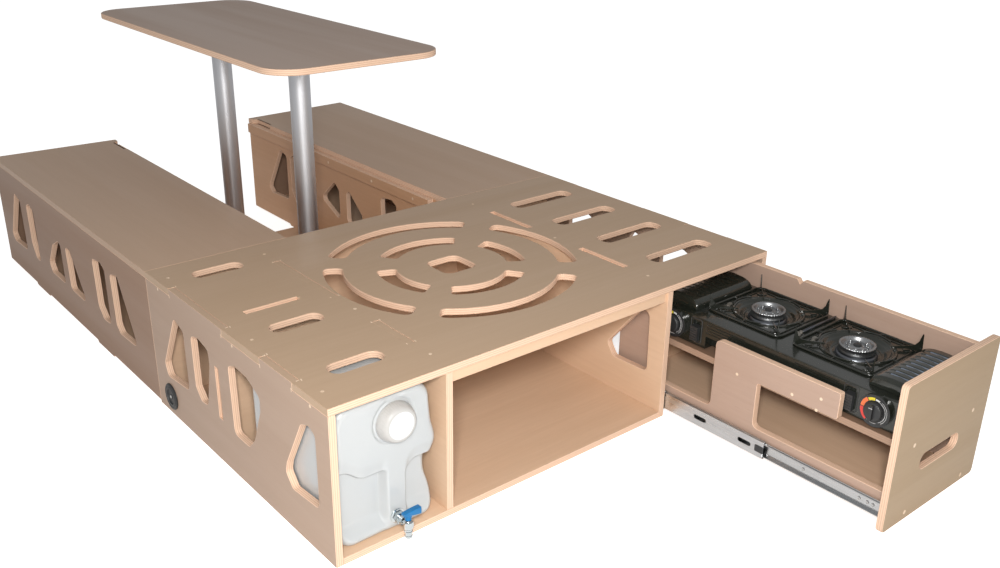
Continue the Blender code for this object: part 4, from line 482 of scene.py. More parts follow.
class Desk:
    """Places and links shader nodes in one tree."""

    def __init__(self, tree: bpy.types.NodeTree) -> None:
        """Keep the tree that the nodes go into."""
        self.tree = tree

    def node(self, kind: str, **settings: object) -> bpy.types.Node:
        """Add a node and set its options."""
        count = len(self.tree.nodes)
        made = self.tree.nodes.new(kind)
        made.location = (220.0 * (count % 9), -260.0 * (count // 9))
        for key, value in settings.items():
            setattr(made, key, value)
        return made

    def feed(self, socket: bpy.types.NodeSocket, value: object) -> None:
        """Link a socket to another, or give it a plain value."""
        if isinstance(value, bpy.types.NodeSocket):
            self.tree.links.new(value, socket)
        elif isinstance(value, tuple) and socket.type == "RGBA" and len(value) == 3:
            socket.default_value = (*value, 1.0)
        else:
            socket.default_value = value

    def sum(self, operation: str, *values: object, clamp: bool = False) -> bpy.types.NodeSocket:
        """Work out one step of arithmetic."""
        made = self.node("ShaderNodeMath", operation=operation, use_clamp=clamp)
        for socket, value in zip(made.inputs, values):
            self.feed(socket, value)
        return made.outputs[0]

    def mix(self, share: object, first: object, second: object, blend: str = "MIX") -> bpy.types.NodeSocket:
        """Blend two colours by a share."""
        made = self.node("ShaderNodeMix", data_type="RGBA", blend_type=blend)
        self.feed(made.inputs["Factor"], share)
        self.feed(made.inputs[6], first)
        self.feed(made.inputs[7], second)
        return made.outputs[2]

    def spread(self, value: object, low: float, high: float, to_low: float = 0.0,
               to_high: float = 1.0) -> bpy.types.NodeSocket:
        """Carry a value from one range to another with a smooth step."""
        made = self.node("ShaderNodeMapRange", interpolation_type="SMOOTHSTEP", clamp=True)
        for name, number in (("From Min", low), ("From Max", high), ("To Min", to_low), ("To Max", to_high)):
            made.inputs[name].default_value = number
        self.feed(made.inputs["Value"], value)
        return made.outputs["Result"]

    def stretch(self, vector: object, scale: Point) -> bpy.types.NodeSocket:
        """Scale a place by a factor along each axis."""
        made = self.node("ShaderNodeVectorMath", operation="MULTIPLY")
        self.feed(made.inputs[0], vector)
        made.inputs[1].default_value = scale
        return made.outputs[0]

    def noise(self, vector: object, scale: object, detail: float = 3.0,
              roughness: float = 0.55) -> bpy.types.NodeSocket:
        """Cloudy noise between 0 and 1."""
        made = self.node("ShaderNodeTexNoise")
        self.feed(made.inputs["Vector"], vector)
        self.feed(made.inputs["Scale"], scale)
        made.inputs["Detail"].default_value = detail
        made.inputs["Roughness"].default_value = roughness
        return made.outputs["Fac"]

    def use(self, group: bpy.types.NodeTree, **inputs: object) -> bpy.types.Node:
        """Place a shared effect and feed its inputs, whose names have _ for a space."""
        made = self.node("ShaderNodeGroup", node_tree=group)
        for name, value in inputs.items():
            self.feed(made.inputs[name.replace("_", " ")], value)
        return made


def new_effect(name: str, inputs: dict[str, object],
               outputs: dict[str, str]) -> tuple[bpy.types.NodeTree, Desk, dict]:
    """Start a shader node group.

    Args:
        name: the group's name.
        inputs: the kind of each input socket and its default, as (kind, value).
        outputs: the kind of each output socket.

    Returns:
        The group, a desk for its nodes, and its input sockets by name. The output node is the
        desk's attribute named out.
    """
    tree = bpy.data.node_groups.new(name, "ShaderNodeTree")
    for label, (kind, value) in inputs.items():
        socket = tree.interface.new_socket(label, in_out="INPUT", socket_type="NodeSocket" + kind)
        if value is not None:
            socket.default_value = value
    for label, kind in outputs.items():
        tree.interface.new_socket(label, in_out="OUTPUT", socket_type="NodeSocket" + kind)
    desk = Desk(tree)
    start = desk.node("NodeGroupInput")
    desk.out = desk.node("NodeGroupOutput")
    return tree, desk, {label: start.outputs[label] for label in inputs}


def ply_layers_effect() -> bpy.types.NodeTree:
    """Striped section of plywood: a triangle wave of the depth, waved by noise, blends two woods."""
    tree, desk, given = new_effect(
        "ply_layers",
        {"Place": ("Vector", None), "Depth": ("Float", 0.5), "Layers": ("Float", 5.5),
         "Light": ("Color", (0.8, 0.58, 0.4, 1.0)), "Dark": ("Color", (0.5, 0.32, 0.2, 1.0))},
        {"Colour": "Color", "Height": "Float"})
    wave = desk.noise(given["Place"], 34.0, 2.0)
    depth = desk.sum("MULTIPLY", given["Depth"], given["Layers"])
    depth = desk.sum("ADD", depth, desk.sum("MULTIPLY", wave, 0.16))
    saw = desk.sum("PINGPONG", depth, 0.5)
    stripe = desk.spread(saw, 0.24, 0.46)
    grit = desk.noise(given["Place"], 900.0, 2.0)
    share = desk.sum("ADD", desk.sum("MULTIPLY", stripe, 0.62), desk.sum("MULTIPLY", grit, 0.30), clamp=True)
    desk.feed(desk.out.inputs["Colour"], desk.mix(share, given["Light"], given["Dark"]))
    desk.feed(desk.out.inputs["Height"], desk.sum("SUBTRACT", 1.0, desk.sum("MULTIPLY", share, 0.8)))
    return tree


def wood_face_effect() -> bpy.types.NodeTree:
    """Face veneer: fine streaks and broad clouds of noise, both stretched along the grain."""
    tree, desk, given = new_effect(
        "wood_face",
        {"Place": ("Vector", None), "Fine": ("Float", 1.0), "Light": ("Color", (0.5, 0.36, 0.25, 1.0)),
         "Dark": ("Color", (0.4, 0.28, 0.19, 1.0)), "Fleck": ("Float", 0.25)},
        {"Colour": "Color", "Height": "Float", "Rough": "Float"})
    streak = desk.noise(given["Place"], given["Fine"], 5.0, 0.62)
    cloud = desk.noise(given["Place"], 0.11, 2.0, 0.5)
    pores = desk.noise(given["Place"], 6.5, 2.0, 0.5)
    both = desk.sum("ADD", desk.sum("MULTIPLY", streak, 0.55), desk.sum("MULTIPLY", cloud, 0.45))
    share = desk.spread(both, 0.34, 0.66)
    colour = desk.mix(share, given["Light"], given["Dark"])
    fleck = desk.sum("MULTIPLY", desk.spread(pores, 0.60, 0.74), given["Fleck"])
    colour = desk.mix(fleck, colour, desk.mix(0.55, given["Dark"], (0.16, 0.09, 0.05)))
    desk.feed(desk.out.inputs["Colour"], colour)
    desk.feed(desk.out.inputs["Height"], desk.sum("SUBTRACT", share, fleck))
    desk.feed(desk.out.inputs["Rough"], desk.spread(cloud, 0.3, 0.7, -0.05, 0.07))
    return tree


def worn_skin_effect() -> bpy.types.NodeTree:
    """Moulded or painted skin: soft clouds for colour and sheen, and a fine pebble for the bump."""
    tree, desk, given = new_effect(
        "worn_skin",
        {"Place": ("Vector", None), "Pebble": ("Float", 900.0), "Base": ("Color", (0.5, 0.5, 0.5, 1.0)),
         "Shade": ("Color", (0.4, 0.4, 0.4, 1.0)), "Rough": ("Float", 0.4)},
        {"Colour": "Color", "Height": "Float", "Rough": "Float"})
    cloud = desk.noise(given["Place"], 9.0, 4.0, 0.55)
    dust = desk.spread(desk.noise(given["Place"], 140.0, 3.0), 0.58, 0.75)
    pebble = desk.noise(given["Place"], given["Pebble"], 2.0)
    share = desk.sum("ADD", desk.spread(cloud, 0.35, 0.68), desk.sum("MULTIPLY", dust, 0.25), clamp=True)
    desk.feed(desk.out.inputs["Colour"], desk.mix(share, given["Base"], given["Shade"]))
    rough = desk.sum("ADD", given["Rough"], desk.spread(cloud, 0.3, 0.7, -0.04, 0.06))
    desk.feed(desk.out.inputs["Rough"], desk.sum("ADD", rough, desk.sum("MULTIPLY", dust, 0.08)))
    desk.feed(desk.out.inputs["Height"], pebble)
    return tree


def brushed_effect() -> bpy.types.NodeTree:
    """Drawn metal: noise stretched far along one axis gives fine lines of colour and height."""
    tree, desk, given = new_effect(
        "brushed", {"Place": ("Vector", None), "Base": ("Color", (0.6, 0.6, 0.6, 1.0)),
                    "Shade": ("Color", (0.5, 0.5, 0.5, 1.0)), "Rough": ("Float", 0.3)},
        {"Colour": "Color", "Height": "Float", "Rough": "Float"})
    lines = desk.noise(given["Place"], 1.0, 4.0, 0.6)
    cloud = desk.noise(given["Place"], 0.05, 2.0)
    desk.feed(desk.out.inputs["Colour"], desk.mix(desk.spread(lines, 0.3, 0.7), given["Base"],
                                                  given["Shade"]))
    rough = desk.sum("ADD", given["Rough"], desk.spread(cloud, 0.3, 0.7, -0.05, 0.08))
    desk.feed(desk.out.inputs["Rough"], rough)
    desk.feed(desk.out.inputs["Height"], lines)
    return tree


MADE: dict[str, bpy.types.Material] = {}
EFFECTS = {"ply": ply_layers_effect(), "wood": wood_face_effect(), "skin": worn_skin_effect(),
           "brushed": brushed_effect()}


# Finishes

def new_material(name: str) -> tuple[bpy.types.Material, Desk, bpy.types.Node]:
    """Start a material and return it with its desk and its Principled shader."""
    material = bpy.data.materials.new("look_" + name)
    material.use_nodes = True
    MADE[name] = material
    return material, Desk(material.node_tree), material.node_tree.nodes["Principled BSDF"]


def settle(node: bpy.types.Node, **values: object) -> None:
    """Set constants on a node's own sockets, whose names have _ for a space."""
    for name, value in values.items():
        node.inputs[name.replace("_", " ")].default_value = value


def add_bump(desk: Desk, shader: bpy.types.Node, height: object, distance: float, strength: float) -> None:
    """Feed a height to the shader's normal."""
    bump = desk.node("ShaderNodeBump")
    settle(bump, Strength=strength, Distance=distance)
    desk.feed(bump.inputs["Height"], height)
    desk.feed(shader.inputs["Normal"], bump.outputs["Normal"])


TOP_LIGHT: Colour = (0.500, 0.355, 0.240)
TOP_DARK: Colour = (0.478, 0.338, 0.226)


@dataclass(frozen=True)
class BoardFinish:
    """Lacquered plywood: a satin face and striped cut edges."""

    name: str
    light: Colour
    dark: Colour
    crown: tuple[Colour, Colour] | None = None
    edge_light: Colour = (0.84, 0.595, 0.440)
    edge_dark: Colour = (0.54, 0.345, 0.230)
    rough: float = 0.40
    edge_rough: float = 0.55
    fleck: float = 0.10
    layers: float = 3.5
    slot: str = "birch_ply"

    def material(self, thickness: Axis, grain: Axis, low: float, high: float,
                 mitre_x: float | None, mitre_z: float | None) -> bpy.types.Material:
        """Make the finish for one board.

        Args:
            thickness: the axis through the board.
            grain: the axis that the face grain follows.
            low: the board's lower face along the thickness.
            high: its upper face.
            mitre_x: ends at or beyond this distance from the middle show a face tone, not stripes.
            mitre_z: level ends at or above this height show it too.

        Returns:
            The material, which reads object coordinates only.
        """
        key = f"{self.name}_{thickness.name}{grain.name}_{low:.4f}_{mitre_x}_{mitre_z}"
        if key in MADE:
            return MADE[key]
        material, desk, shader = new_material(key)
        coords = desk.node("ShaderNodeTexCoord")
        place = coords.outputs["Object"]
        crown = 0.0
        spots = desk.node("ShaderNodeSeparateXYZ")
        desk.feed(spots.inputs[0], place)
        facing = desk.node("ShaderNodeSeparateXYZ")
        desk.feed(facing.inputs[0], coords.outputs["Normal"])
        flat = desk.spread(desk.sum("ABSOLUTE", facing.outputs[thickness.value]), 0.955, 0.985)
        if mitre_x is not None:
            end = desk.spread(desk.sum("ABSOLUTE", spots.outputs[0]), mitre_x - 0.0010, mitre_x - 0.0004)
            side = desk.sum("GREATER_THAN", desk.sum("ABSOLUTE", facing.outputs[0]), 0.5)
            crown = desk.sum("MULTIPLY", end, side)
        if mitre_z is not None:
            end = desk.spread(spots.outputs[2], mitre_z - 0.0010, mitre_z - 0.0004)
            side = desk.sum("GREATER_THAN", facing.outputs[2], 0.5)
            crown = desk.sum("MAXIMUM", crown, desk.sum("MULTIPLY", end, side))
        flat = desk.sum("MAXIMUM", flat, crown)
        depth = desk.sum("DIVIDE", desk.sum("SUBTRACT", spots.outputs[thickness.value], low), high - low)
        scale = [GRAIN_ACROSS] * 3
        scale[grain.value] = GRAIN_ALONG
        face = desk.use(EFFECTS["wood"], Place=desk.stretch(place, tuple(scale)), Light=self.light,
                        Dark=self.dark, Fleck=self.fleck, Fine=1.0)
        core = desk.use(EFFECTS["ply"], Place=place, Depth=depth, Layers=self.layers,
                        Light=self.edge_light, Dark=self.edge_dark)
        colour = desk.mix(flat, core.outputs["Colour"], face.outputs["Colour"])
        if self.crown is not None:
            end_place = desk.stretch(place, (GRAIN_ALONG, GRAIN_ACROSS, GRAIN_ACROSS))
            film = desk.use(EFFECTS["wood"], Place=end_place, Light=self.crown[0], Dark=self.crown[1],
                            Fleck=0.05, Fine=1.0)
            colour = desk.mix(crown, colour, film.outputs["Colour"])
        desk.feed(shader.inputs["Base Color"], colour)
        base = desk.spread(flat, 0.0, 1.0, self.edge_rough, self.rough)
        desk.feed(shader.inputs["Roughness"], desk.sum("ADD", base, face.outputs["Rough"]))
        relief = desk.sum("ADD", desk.sum("MULTIPLY", core.outputs["Height"], 0.6), face.outputs["Height"])
        add_bump(desk, shader, relief, 0.0004, 0.12)
        shader.inputs["Specular IOR Level"].default_value = 0.30
        return material


@dataclass(frozen=True)
class SkinFinish:
    """Painted or moulded surface with a soft pebble, in two near colours."""

    name: str
    base: Colour
    shade: Colour
    slot: str
    rough: float = 0.4
    metallic: float = 0.0
    coat: float = 0.0
    coat_rough: float = 0.08
    pebble: float = 900.0
    bump: float = 0.0003
    relief: float = 0.08

    def effect(self, desk: Desk, place: object) -> bpy.types.Node:
        """Place the shared effect that gives the colour, sheen and height."""
        return desk.use(EFFECTS["skin"], Place=place, Pebble=self.pebble, Base=self.base, Shade=self.shade,
                        Rough=self.rough)

    def sheen(self, shader: bpy.types.Node, skin: bpy.types.Node) -> object:
        """Give the socket or number that sets the roughness."""
        return skin.outputs["Rough"]

    def material(self) -> bpy.types.Material:
        """Make the finish once and hand out the same one after that."""
        if self.name in MADE:
            return MADE[self.name]
        material, desk, shader = new_material(self.name)
        skin = self.effect(desk, desk.node("ShaderNodeTexCoord").outputs["Object"])
        desk.feed(shader.inputs["Base Color"], skin.outputs["Colour"])
        desk.feed(shader.inputs["Roughness"], self.sheen(shader, skin))
        settle(shader, Metallic=self.metallic, Coat_Weight=self.coat, Coat_Roughness=self.coat_rough)
        add_bump(desk, shader, skin.outputs["Height"], self.bump, self.relief)
        return material


@dataclass(frozen=True)
class BrushedFinish(SkinFinish):
    """Drawn or plated metal with fine lines along one axis."""

    rough: float = 0.28
    metallic: float = 1.0
    bump: float = 0.0002
    relief: float = 0.06
    along: Axis = Axis.Y

    def effect(self, desk: Desk, place: object) -> bpy.types.Node:
        """Place the brushed effect, its noise stretched along the lines."""
        scale = [LINES_ACROSS] * 3
        scale[self.along.value] = LINES_ALONG
        return desk.use(EFFECTS["brushed"], Place=desk.stretch(place, tuple(scale)), Base=self.base,
                        Shade=self.shade, Rough=self.rough)


@dataclass(frozen=True)
class CloudyFinish(SkinFinish):
    """Milky blow-moulded plastic that lets a little light in."""

    rough: float = 0.26
    coat: float = 0.40
    coat_rough: float = 0.07
    pebble: float = 420.0
    bump: float = 0.0001
    relief: float = 0.03
    glow: float = 0.35
    depth: Point = (0.012, 0.013, 0.014)

    def sheen(self, shader: bpy.types.Node, skin: bpy.types.Node) -> object:
        """Let light in below the skin, and keep one even roughness."""
        settle(shader, Subsurface_Weight=self.glow, Subsurface_Radius=self.depth, Subsurface_Scale=1.0)
        return self.rough


TOP_TONES = (TOP_LIGHT, TOP_DARK)
FILM = BoardFinish("film_ply", TOP_LIGHT, TOP_DARK, rough=0.40, fleck=0.05, slot="film_ply")
LID = BoardFinish("lid_ply", (0.530, 0.372, 0.262), (0.509, 0.355, 0.248), rough=0.38, fleck=0.05,
                  slot="film_ply")
SLATE = BoardFinish("table_ply", (0.425, 0.308, 0.240), (0.409, 0.295, 0.229), rough=0.36, fleck=0.04,
                    slot="film_ply")
SIDE = BoardFinish("side_ply", (0.455, 0.325, 0.245), (0.436, 0.309, 0.231), rough=0.42, fleck=0.06,
                   crown=TOP_TONES)
# Painted shade: a darker copy of the side ply for the bench's outer side and far end, standing in for light
# that falls off towards the back.
SHADED_BENCH = BoardFinish("bench_ply", (0.345, 0.218, 0.150), (0.329, 0.205, 0.140), rough=0.42, fleck=0.06)
AISLE = BoardFinish("aisle_ply", (0.620, 0.370, 0.220), (0.580, 0.340, 0.198), rough=0.42, fleck=0.08)
BIRCH = BoardFinish("birch_ply", (0.740, 0.520, 0.360), (0.695, 0.478, 0.322), rough=0.46, fleck=0.10,
                    crown=TOP_TONES)
PANEL = BoardFinish("panel_ply", (0.470, 0.332, 0.262), (0.443, 0.308, 0.240), rough=0.46, fleck=0.16)
# Painted shade: a much darker copy of the birch ply, faces and cut edges alike, for the stove shelf that lies
# in shadow inside the drawer.
SHADED_SHELF = BoardFinish("shelf_ply", (0.250, 0.155, 0.103), (0.231, 0.142, 0.093),
                    edge_light=(0.40, 0.265, 0.190), edge_dark=(0.30, 0.190, 0.128), rough=0.46, fleck=0.10)
TAN = BoardFinish("tan_ply", (0.415, 0.300, 0.190), (0.395, 0.284, 0.179), rough=0.42, fleck=0.10,
                  slot="film_ply")
PALE_WOOD = SkinFinish("pale_wood", (0.83, 0.66, 0.50), (0.72, 0.54, 0.38), "birch_ply", rough=0.5,
                       pebble=600.0)
ENAMEL = SkinFinish("black_enamel", (0.013, 0.015, 0.011), (0.018, 0.020, 0.016), "black_enamel", rough=0.20,
                    coat=0.55, pebble=260.0, relief=0.02)
FASCIA = SkinFinish("fascia_enamel", (0.030, 0.030, 0.031), (0.044, 0.043, 0.042), "black_enamel",
                    rough=0.34, pebble=500.0)
BLACK = SkinFinish("black_plastic", (0.020, 0.021, 0.022), (0.032, 0.033, 0.035), "black_plastic", rough=0.42,
                   pebble=1300.0, relief=0.14)
CAST = SkinFinish("cast_alloy", (0.42, 0.43, 0.44), (0.32, 0.33, 0.34), "aluminium", rough=0.30, metallic=1.0,
                  pebble=1500.0, relief=0.16)
CHROME = SkinFinish("chrome", (0.60, 0.65, 0.67), (0.48, 0.53, 0.56), "chrome", rough=0.16, metallic=1.0,
                    pebble=300.0, relief=0.02)
BLUE = SkinFinish("blue_plastic", (0.002, 0.150, 0.38), (0.002, 0.115, 0.30), "blue_plastic", rough=0.38,
                  pebble=800.0)
WHITE = SkinFinish("white_plastic", (0.480, 0.472, 0.460), (0.458, 0.450, 0.437), "white_plastic",
                   rough=0.34, pebble=700.0)
# Painted light: a lighter copy of the white plastic for the cap's face, which faces the light.
PAINTED_LIGHT_WHITE = SkinFinish("bright_plastic", (0.66, 0.67, 0.68), (0.64, 0.65, 0.66), "white_plastic", rough=0.30,
                    pebble=700.0)
INK_WHITE = SkinFinish("dial_white", (0.70, 0.70, 0.70), (0.58, 0.58, 0.58), "black_plastic", rough=0.5)
INK_YELLOW = SkinFinish("dial_yellow", (0.75, 0.62, 0.04), (0.65, 0.50, 0.03), "black_plastic", rough=0.5)
INK_ORANGE = SkinFinish("dial_orange", (0.80, 0.20, 0.06), (0.70, 0.15, 0.05), "black_plastic", rough=0.5)
INK_RED = SkinFinish("dial_red", (0.72, 0.07, 0.06), (0.60, 0.05, 0.04), "black_plastic", rough=0.5)
TUBE_METAL = BrushedFinish("leg_aluminium", (0.76, 0.78, 0.82), (0.68, 0.70, 0.74), "aluminium", rough=0.42,
                           along=Axis.Z)
SOCKET_METAL = BrushedFinish("socket_aluminium", (0.55, 0.55, 0.55), (0.45, 0.45, 0.45), "aluminium",
                             rough=0.38)
ZINC = BrushedFinish("zinc", (0.66, 0.67, 0.68), (0.55, 0.56, 0.57), "zinc", rough=0.26)
DARK_STEEL = BrushedFinish("dark_steel", (0.20, 0.21, 0.23), (0.14, 0.15, 0.17), "aluminium", rough=0.34)
WORN_ALLOY = SkinFinish("worn_alloy", (0.30, 0.28, 0.25), (0.20, 0.19, 0.17), "aluminium", rough=0.36,
                        metallic=0.6)
# Painted reflection: black enamel given a pale bluish colour that stands in for the light caught by its
# glossy louvres and hem.
PAINTED_REFLECTION = SkinFinish("blued_steel", (0.30, 0.36, 0.46), (0.18, 0.22, 0.30), "black_enamel", rough=0.30,
                        metallic=0.7)
SCREW = SkinFinish("screw_steel", (0.62, 0.62, 0.62), (0.5, 0.5, 0.5), "zinc", rough=0.25, metallic=1.0)
CLOUDY = CloudyFinish("cloudy_plastic", (0.482, 0.503, 0.514), (0.473, 0.495, 0.508), "cloudy_plastic")


# Boards

@dataclass(frozen=True)
class Slit:
    """A rectangle in the plane of a board whose edges stay crisp: low and high corner."""

    low: tuple[float, float]
    high: tuple[float, float]


@dataclass
class Board:
    """One plywood board: a welded copy of its solid with rounded edges.

    The lower face along the thickness is set back by the shave, so that plugs can stand proud
    of it inside the solid's own box.
    """

    node: str
    thickness: Axis
    grain: Axis
    finish: BoardFinish
    body: str = "box"
    cut_round: float = 0.0022
    edge_round: float = 0.0007
    margin: float = 0.0165
    slits: tuple[Slit, ...] = ()
    mitre_x: float | None = None
    mitre_z: float | None = None
    shave: float = 0.0

    def weights(self, mesh: bpy.types.Mesh) -> np.ndarray:
        """Choose how far each edge is rounded.

        Args:
            mesh: the board's faces.

        Returns:
            For each edge 0 where its faces are nearly level, 1 round a cut-out, and a small
            share elsewhere. Cut-outs are what lies further in than the margin and off the slits.
        """
        points = gathered(mesh.vertices, "co", 3)
        ends = gathered(mesh.edges, "vertices", 2, np.int32)
        owners = gathered(mesh.loops, "edge_index", 1, np.int32)
        normals = gathered(mesh.polygons, "normal", 3)
        corners = gathered(mesh.polygons, "loop_total", 1, np.int32)
        faces = np.repeat(np.arange(len(corners)), corners)
        pairs = faces[np.argsort(owners, kind="stable")].reshape(-1, 2)
        bend = (normals[pairs[:, 0]] * normals[pairs[:, 1]]).sum(axis=1)
        middle = points[ends].mean(axis=1)
        plane = [axis for axis in (0, 1, 2) if axis != self.thickness.value]
        spots = middle[:, plane]
        low, high = points[:, plane].min(axis=0), points[:, plane].max(axis=0)
        inner = ((spots > low + self.margin) & (spots < high - self.margin)).all(axis=1)
        for slit in self.slits:
            inner &= ~((spots > np.array(slit.low)) & (spots < np.array(slit.high))).all(axis=1)
        crisp = self.edge_round / self.cut_round
        return np.where(bend < math.cos(math.radians(50.0)), np.where(inner, 1.0, crisp), 0.0)

    def build(self) -> bpy.types.Object:
        """Make the dressed board and let it stand for its solid."""
        skin = solid_skin(self.node)
        low, high = skin.points.min(axis=0), skin.points.max(axis=0)
        axis = self.thickness.value
        skin.points[:, axis] += self.shave * (skin.points[:, axis] < low[axis] + 1e-5)
        material = self.finish.material(self.thickness, self.grain, float(low[axis]), float(high[axis]),
                                        self.mitre_x, self.mitre_z)
        piece = make_piece(self.node + "_dressed", skin, self.body, material, 45.0)
        flatten(piece.data, self.thickness)
        weight = piece.data.attributes.new("bevel_weight_edge", "FLOAT", "EDGE")
        weight.data.foreach_set("value", self.weights(piece.data).astype(np.float32))
        bevel = piece.modifiers.new("Routed edges", "BEVEL")
        bevel.width = self.cut_round
        bevel.segments = 3
        bevel.limit_method = "WEIGHT"
        bevel.harden_normals = True
        bevel.use_clamp_overlap = False
        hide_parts(self.node)
        return piece


@dataclass
class PlugRow:
    """Small round marks let into a flat face: wooden plugs or the heads of screws."""

    name: str
    body: str
    places: tuple[Point, ...]
    facing: Axis
    sign: int
    finish: SkinFinish = PALE_WOOD
    radius: float = 0.0034
    proud: float = 0.00025

    def build(self) -> bpy.types.Object:
        """Make each mark as a low turned button with a dished middle, and join the row."""
        dish = [(0.0, -0.002), (self.radius, -0.002), (self.radius, self.proud * 0.4),
                (self.radius * 0.9, self.proud), (self.radius * 0.5, self.proud * 0.5),
                (0.0, self.proud * 0.3)]
        button = lathe(dish, 20).upright_to(self.facing, self.sign)
        row = joined([button.moved(place) for place in self.places])
        return dress(self.name, row, self.body, self.finish)


@dataclass
class CornerTicks:
    """Short pale marks where the router rounded the corners of a finger joint."""

    name: str
    body: str
    places: tuple[tuple[float, float, float, float], ...]
    facing: Axis
    sign: int
    level: float
    length: float = 0.0085
    width: float = 0.0022
    proud: float = 0.0002

    def build(self) -> bpy.types.Object:
        """Make each tick as a low capsule: (first, second, angle, size share) in its face."""
        ticks = []
        for first, second, degrees, share in self.places:
            outline = rounded_rectangle(self.length * share, self.width, self.width * 0.49, 4)
            tick = prism(outline, -0.0006, self.proud).spun(Axis.Z, degrees)
            if self.facing is Axis.X:
                tick = tick.reordered((2, 0, 1), (self.sign, 1.0, 1.0)).moved((self.level, first, second))
            else:
                tick = tick.moved((first, second, self.level))
            ticks.append(tick.outward())
        return dress(self.name, joined(ticks), self.body, PALE_WOOD)


@dataclass
class MainBox:
    """Boards of the main box, with their plugs, joint marks and inlet."""

    left: float = BOX_LEFT
    front: float = BOX_FRONT
    depth: float = 0.765
    top: float = 0.325
    tabs: tuple[tuple[float, float], ...] = ((0.157, 0.316), (0.516, 0.840))
    slit_margin: float = 0.003
    inlet_rise: float = 0.0043
    inlet_neck: float = 0.0228

    def slits(self) -> tuple[Slit, ...]:
        """Rectangles of the top board round the divider's, partition's and tank wall's slits."""
        spare = self.slit_margin
        low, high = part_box("box_tank_wall")
        return (*(Slit((low_side.x - spare, -1.0), (high_side.x + spare, 1.0))
                  for low_side, high_side in map(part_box, ("box_divider", "box_partition"))),
                Slit((low.x - spare, low.y - spare), (high.x + spare, high.y + spare)))

    def boards(self) -> list[Board]:
        """Every board of the box."""
        wall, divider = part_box("box_tank_wall"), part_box("box_divider")
        slot = (Slit((wall[0].y - self.slit_margin, 0.0), (wall[1].y + self.slit_margin, 1.0)),)
        return [
            Board("box_top", Axis.Z, Axis.X, FILM, slits=self.slits(), mitre_x=-self.left),
            Board("box_left_side", Axis.X, Axis.Y, SIDE, slits=slot, mitre_z=self.top),
            Board("box_right_side", Axis.X, Axis.Y, SIDE, mitre_z=self.top),
            Board("box_divider", Axis.X, Axis.Y, BIRCH, mitre_z=divider[1].z),
            Board("box_partition", Axis.X, Axis.Y, BIRCH),
            Board("box_base", Axis.Z, Axis.X, BIRCH),
            Board("box_back", Axis.Y, Axis.X, BIRCH),
            Board("box_front_rail", Axis.Y, Axis.X, BIRCH),
            Board("box_tank_wall", Axis.Y, Axis.X, BIRCH, mitre_x=-wall[0].x, mitre_z=wall[1].z),
        ]

    def joint_marks(self) -> list[CornerTicks]:
        """Ticks at each corner of the finger joints, on the top and on the left side."""
        top, side = [], []
        for start, end in self.tabs:
            for share, lean in ((start, -1.0), (end, 1.0)):
                y = self.front + share * self.depth
                top.append((self.left + 0.0185, y + 0.002 * lean, 78.0, 0.9))
                top.append((self.left + 0.0115, y + 0.001 * lean, 12.0, 0.8))
                side.append((y - 0.003 * lean, self.top - 0.016, 80.0, 1.0))
                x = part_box("box_divider")[1].x
                top.append((x + 0.0022, y, 88.0, 0.8))
                top.append((x - 0.0172, y, 88.0, 0.7))
        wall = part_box("box_tank_wall")
        top.append((self.left + 0.194, (wall[0].y + wall[1].y) / 2, 15.0, 0.8))
        return [CornerTicks("top_joint_marks", "box", tuple(top), Axis.Z, 1, self.top),
                CornerTicks("side_joint_marks", "box", tuple(side), Axis.X, -1, self.left)]

    def plugs(self) -> list[PlugRow]:
        """Wooden plugs over the screws of the top, and the screws in the partition."""
        y = [self.front + place for place in (0.059, 0.316, 0.700)]
        x = self.left
        top = [(x + 0.0255, spot, self.top) for spot in y]
        top += [(x + 0.255, spot, self.top) for spot in y]
        top += [(x + 0.855, self.front + place, self.top) for place in (0.070, 0.372, 0.690)]
        side = [(x, self.front + place, self.top - 0.020) for place in (0.059, 0.352, 0.700)]
        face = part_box("box_partition")[1].x
        screws = [(face, self.front + 0.26, 0.030), (face, self.front + 0.11, 0.030),
                  (face, self.front + 0.20, 0.217)]
        return [PlugRow("top_plugs", "box", tuple(top), Axis.Z, 1),
                PlugRow("side_plugs", "box", tuple(side), Axis.X, -1),
                PlugRow("partition_screws", "box", tuple(screws), Axis.X, 1, SCREW, 0.0028)]

    def build_inlet(self) -> None:
        """Black inlet: a ribbed flange with a dished cap and a paler middle."""
        low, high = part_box("side_inlet")
        centre = midpoint("side_inlet")[1:]
        radius = (high.y - low.y) / 2
        face = self.inlet_rise
        profile = [(0.0, 0.0003), (radius, 0.0003), (radius, face * 0.55), (radius * 0.95, face * 0.9),
                   (radius * 0.86, face), (radius * 0.80, face * 0.72), (radius * 0.74, face),
                   (radius * 0.60, face), (radius * 0.56, face * 0.45), (radius * 0.20, face * 0.40),
                   (radius * 0.16, face * 0.75), (0.0, face * 0.80)]
        neck = [(0.0, -0.030), (self.inlet_neck, -0.030), (self.inlet_neck, 0.0004), (0.0, 0.0004)]
        disc = joined([lathe(profile), lathe(neck)]).upright_to(Axis.X, -1).moved((self.left, *centre))
        dress("inlet_dressed", disc, "box", BLACK, node="side_inlet")
        pin = lathe([(0.0, face * 0.5), (radius * 0.13, face * 0.5), (radius * 0.11, face * 0.95),
                     (0.0, face)], 20)
        dress("inlet_pin", pin.upright_to(Axis.X, -1).moved((self.left, *centre)), "box", WHITE)

    def build_rail_hook(self) -> None:
        """Small block behind the front rail, black as painted shade for the shadow it stands in."""
        low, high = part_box("box_front_rail")
        outline = rounded_rectangle(0.030, 0.016, 0.004)
        block = prism(outline, 0.0, 0.014).upright_to(Axis.Y, 1)
        block = block.moved((0.0, high.y + 0.0002, low.z + 0.010))
        dress("rail_stop", block, "box", BLACK, soft=0.001)

    def build(self) -> None:
        """Dress the whole main box."""
        for part in [*self.boards(), *self.joint_marks(), *self.plugs()]:
            part.build()
        self.build_inlet()
        self.build_rail_hook()
        LOG.info("main box dressed")


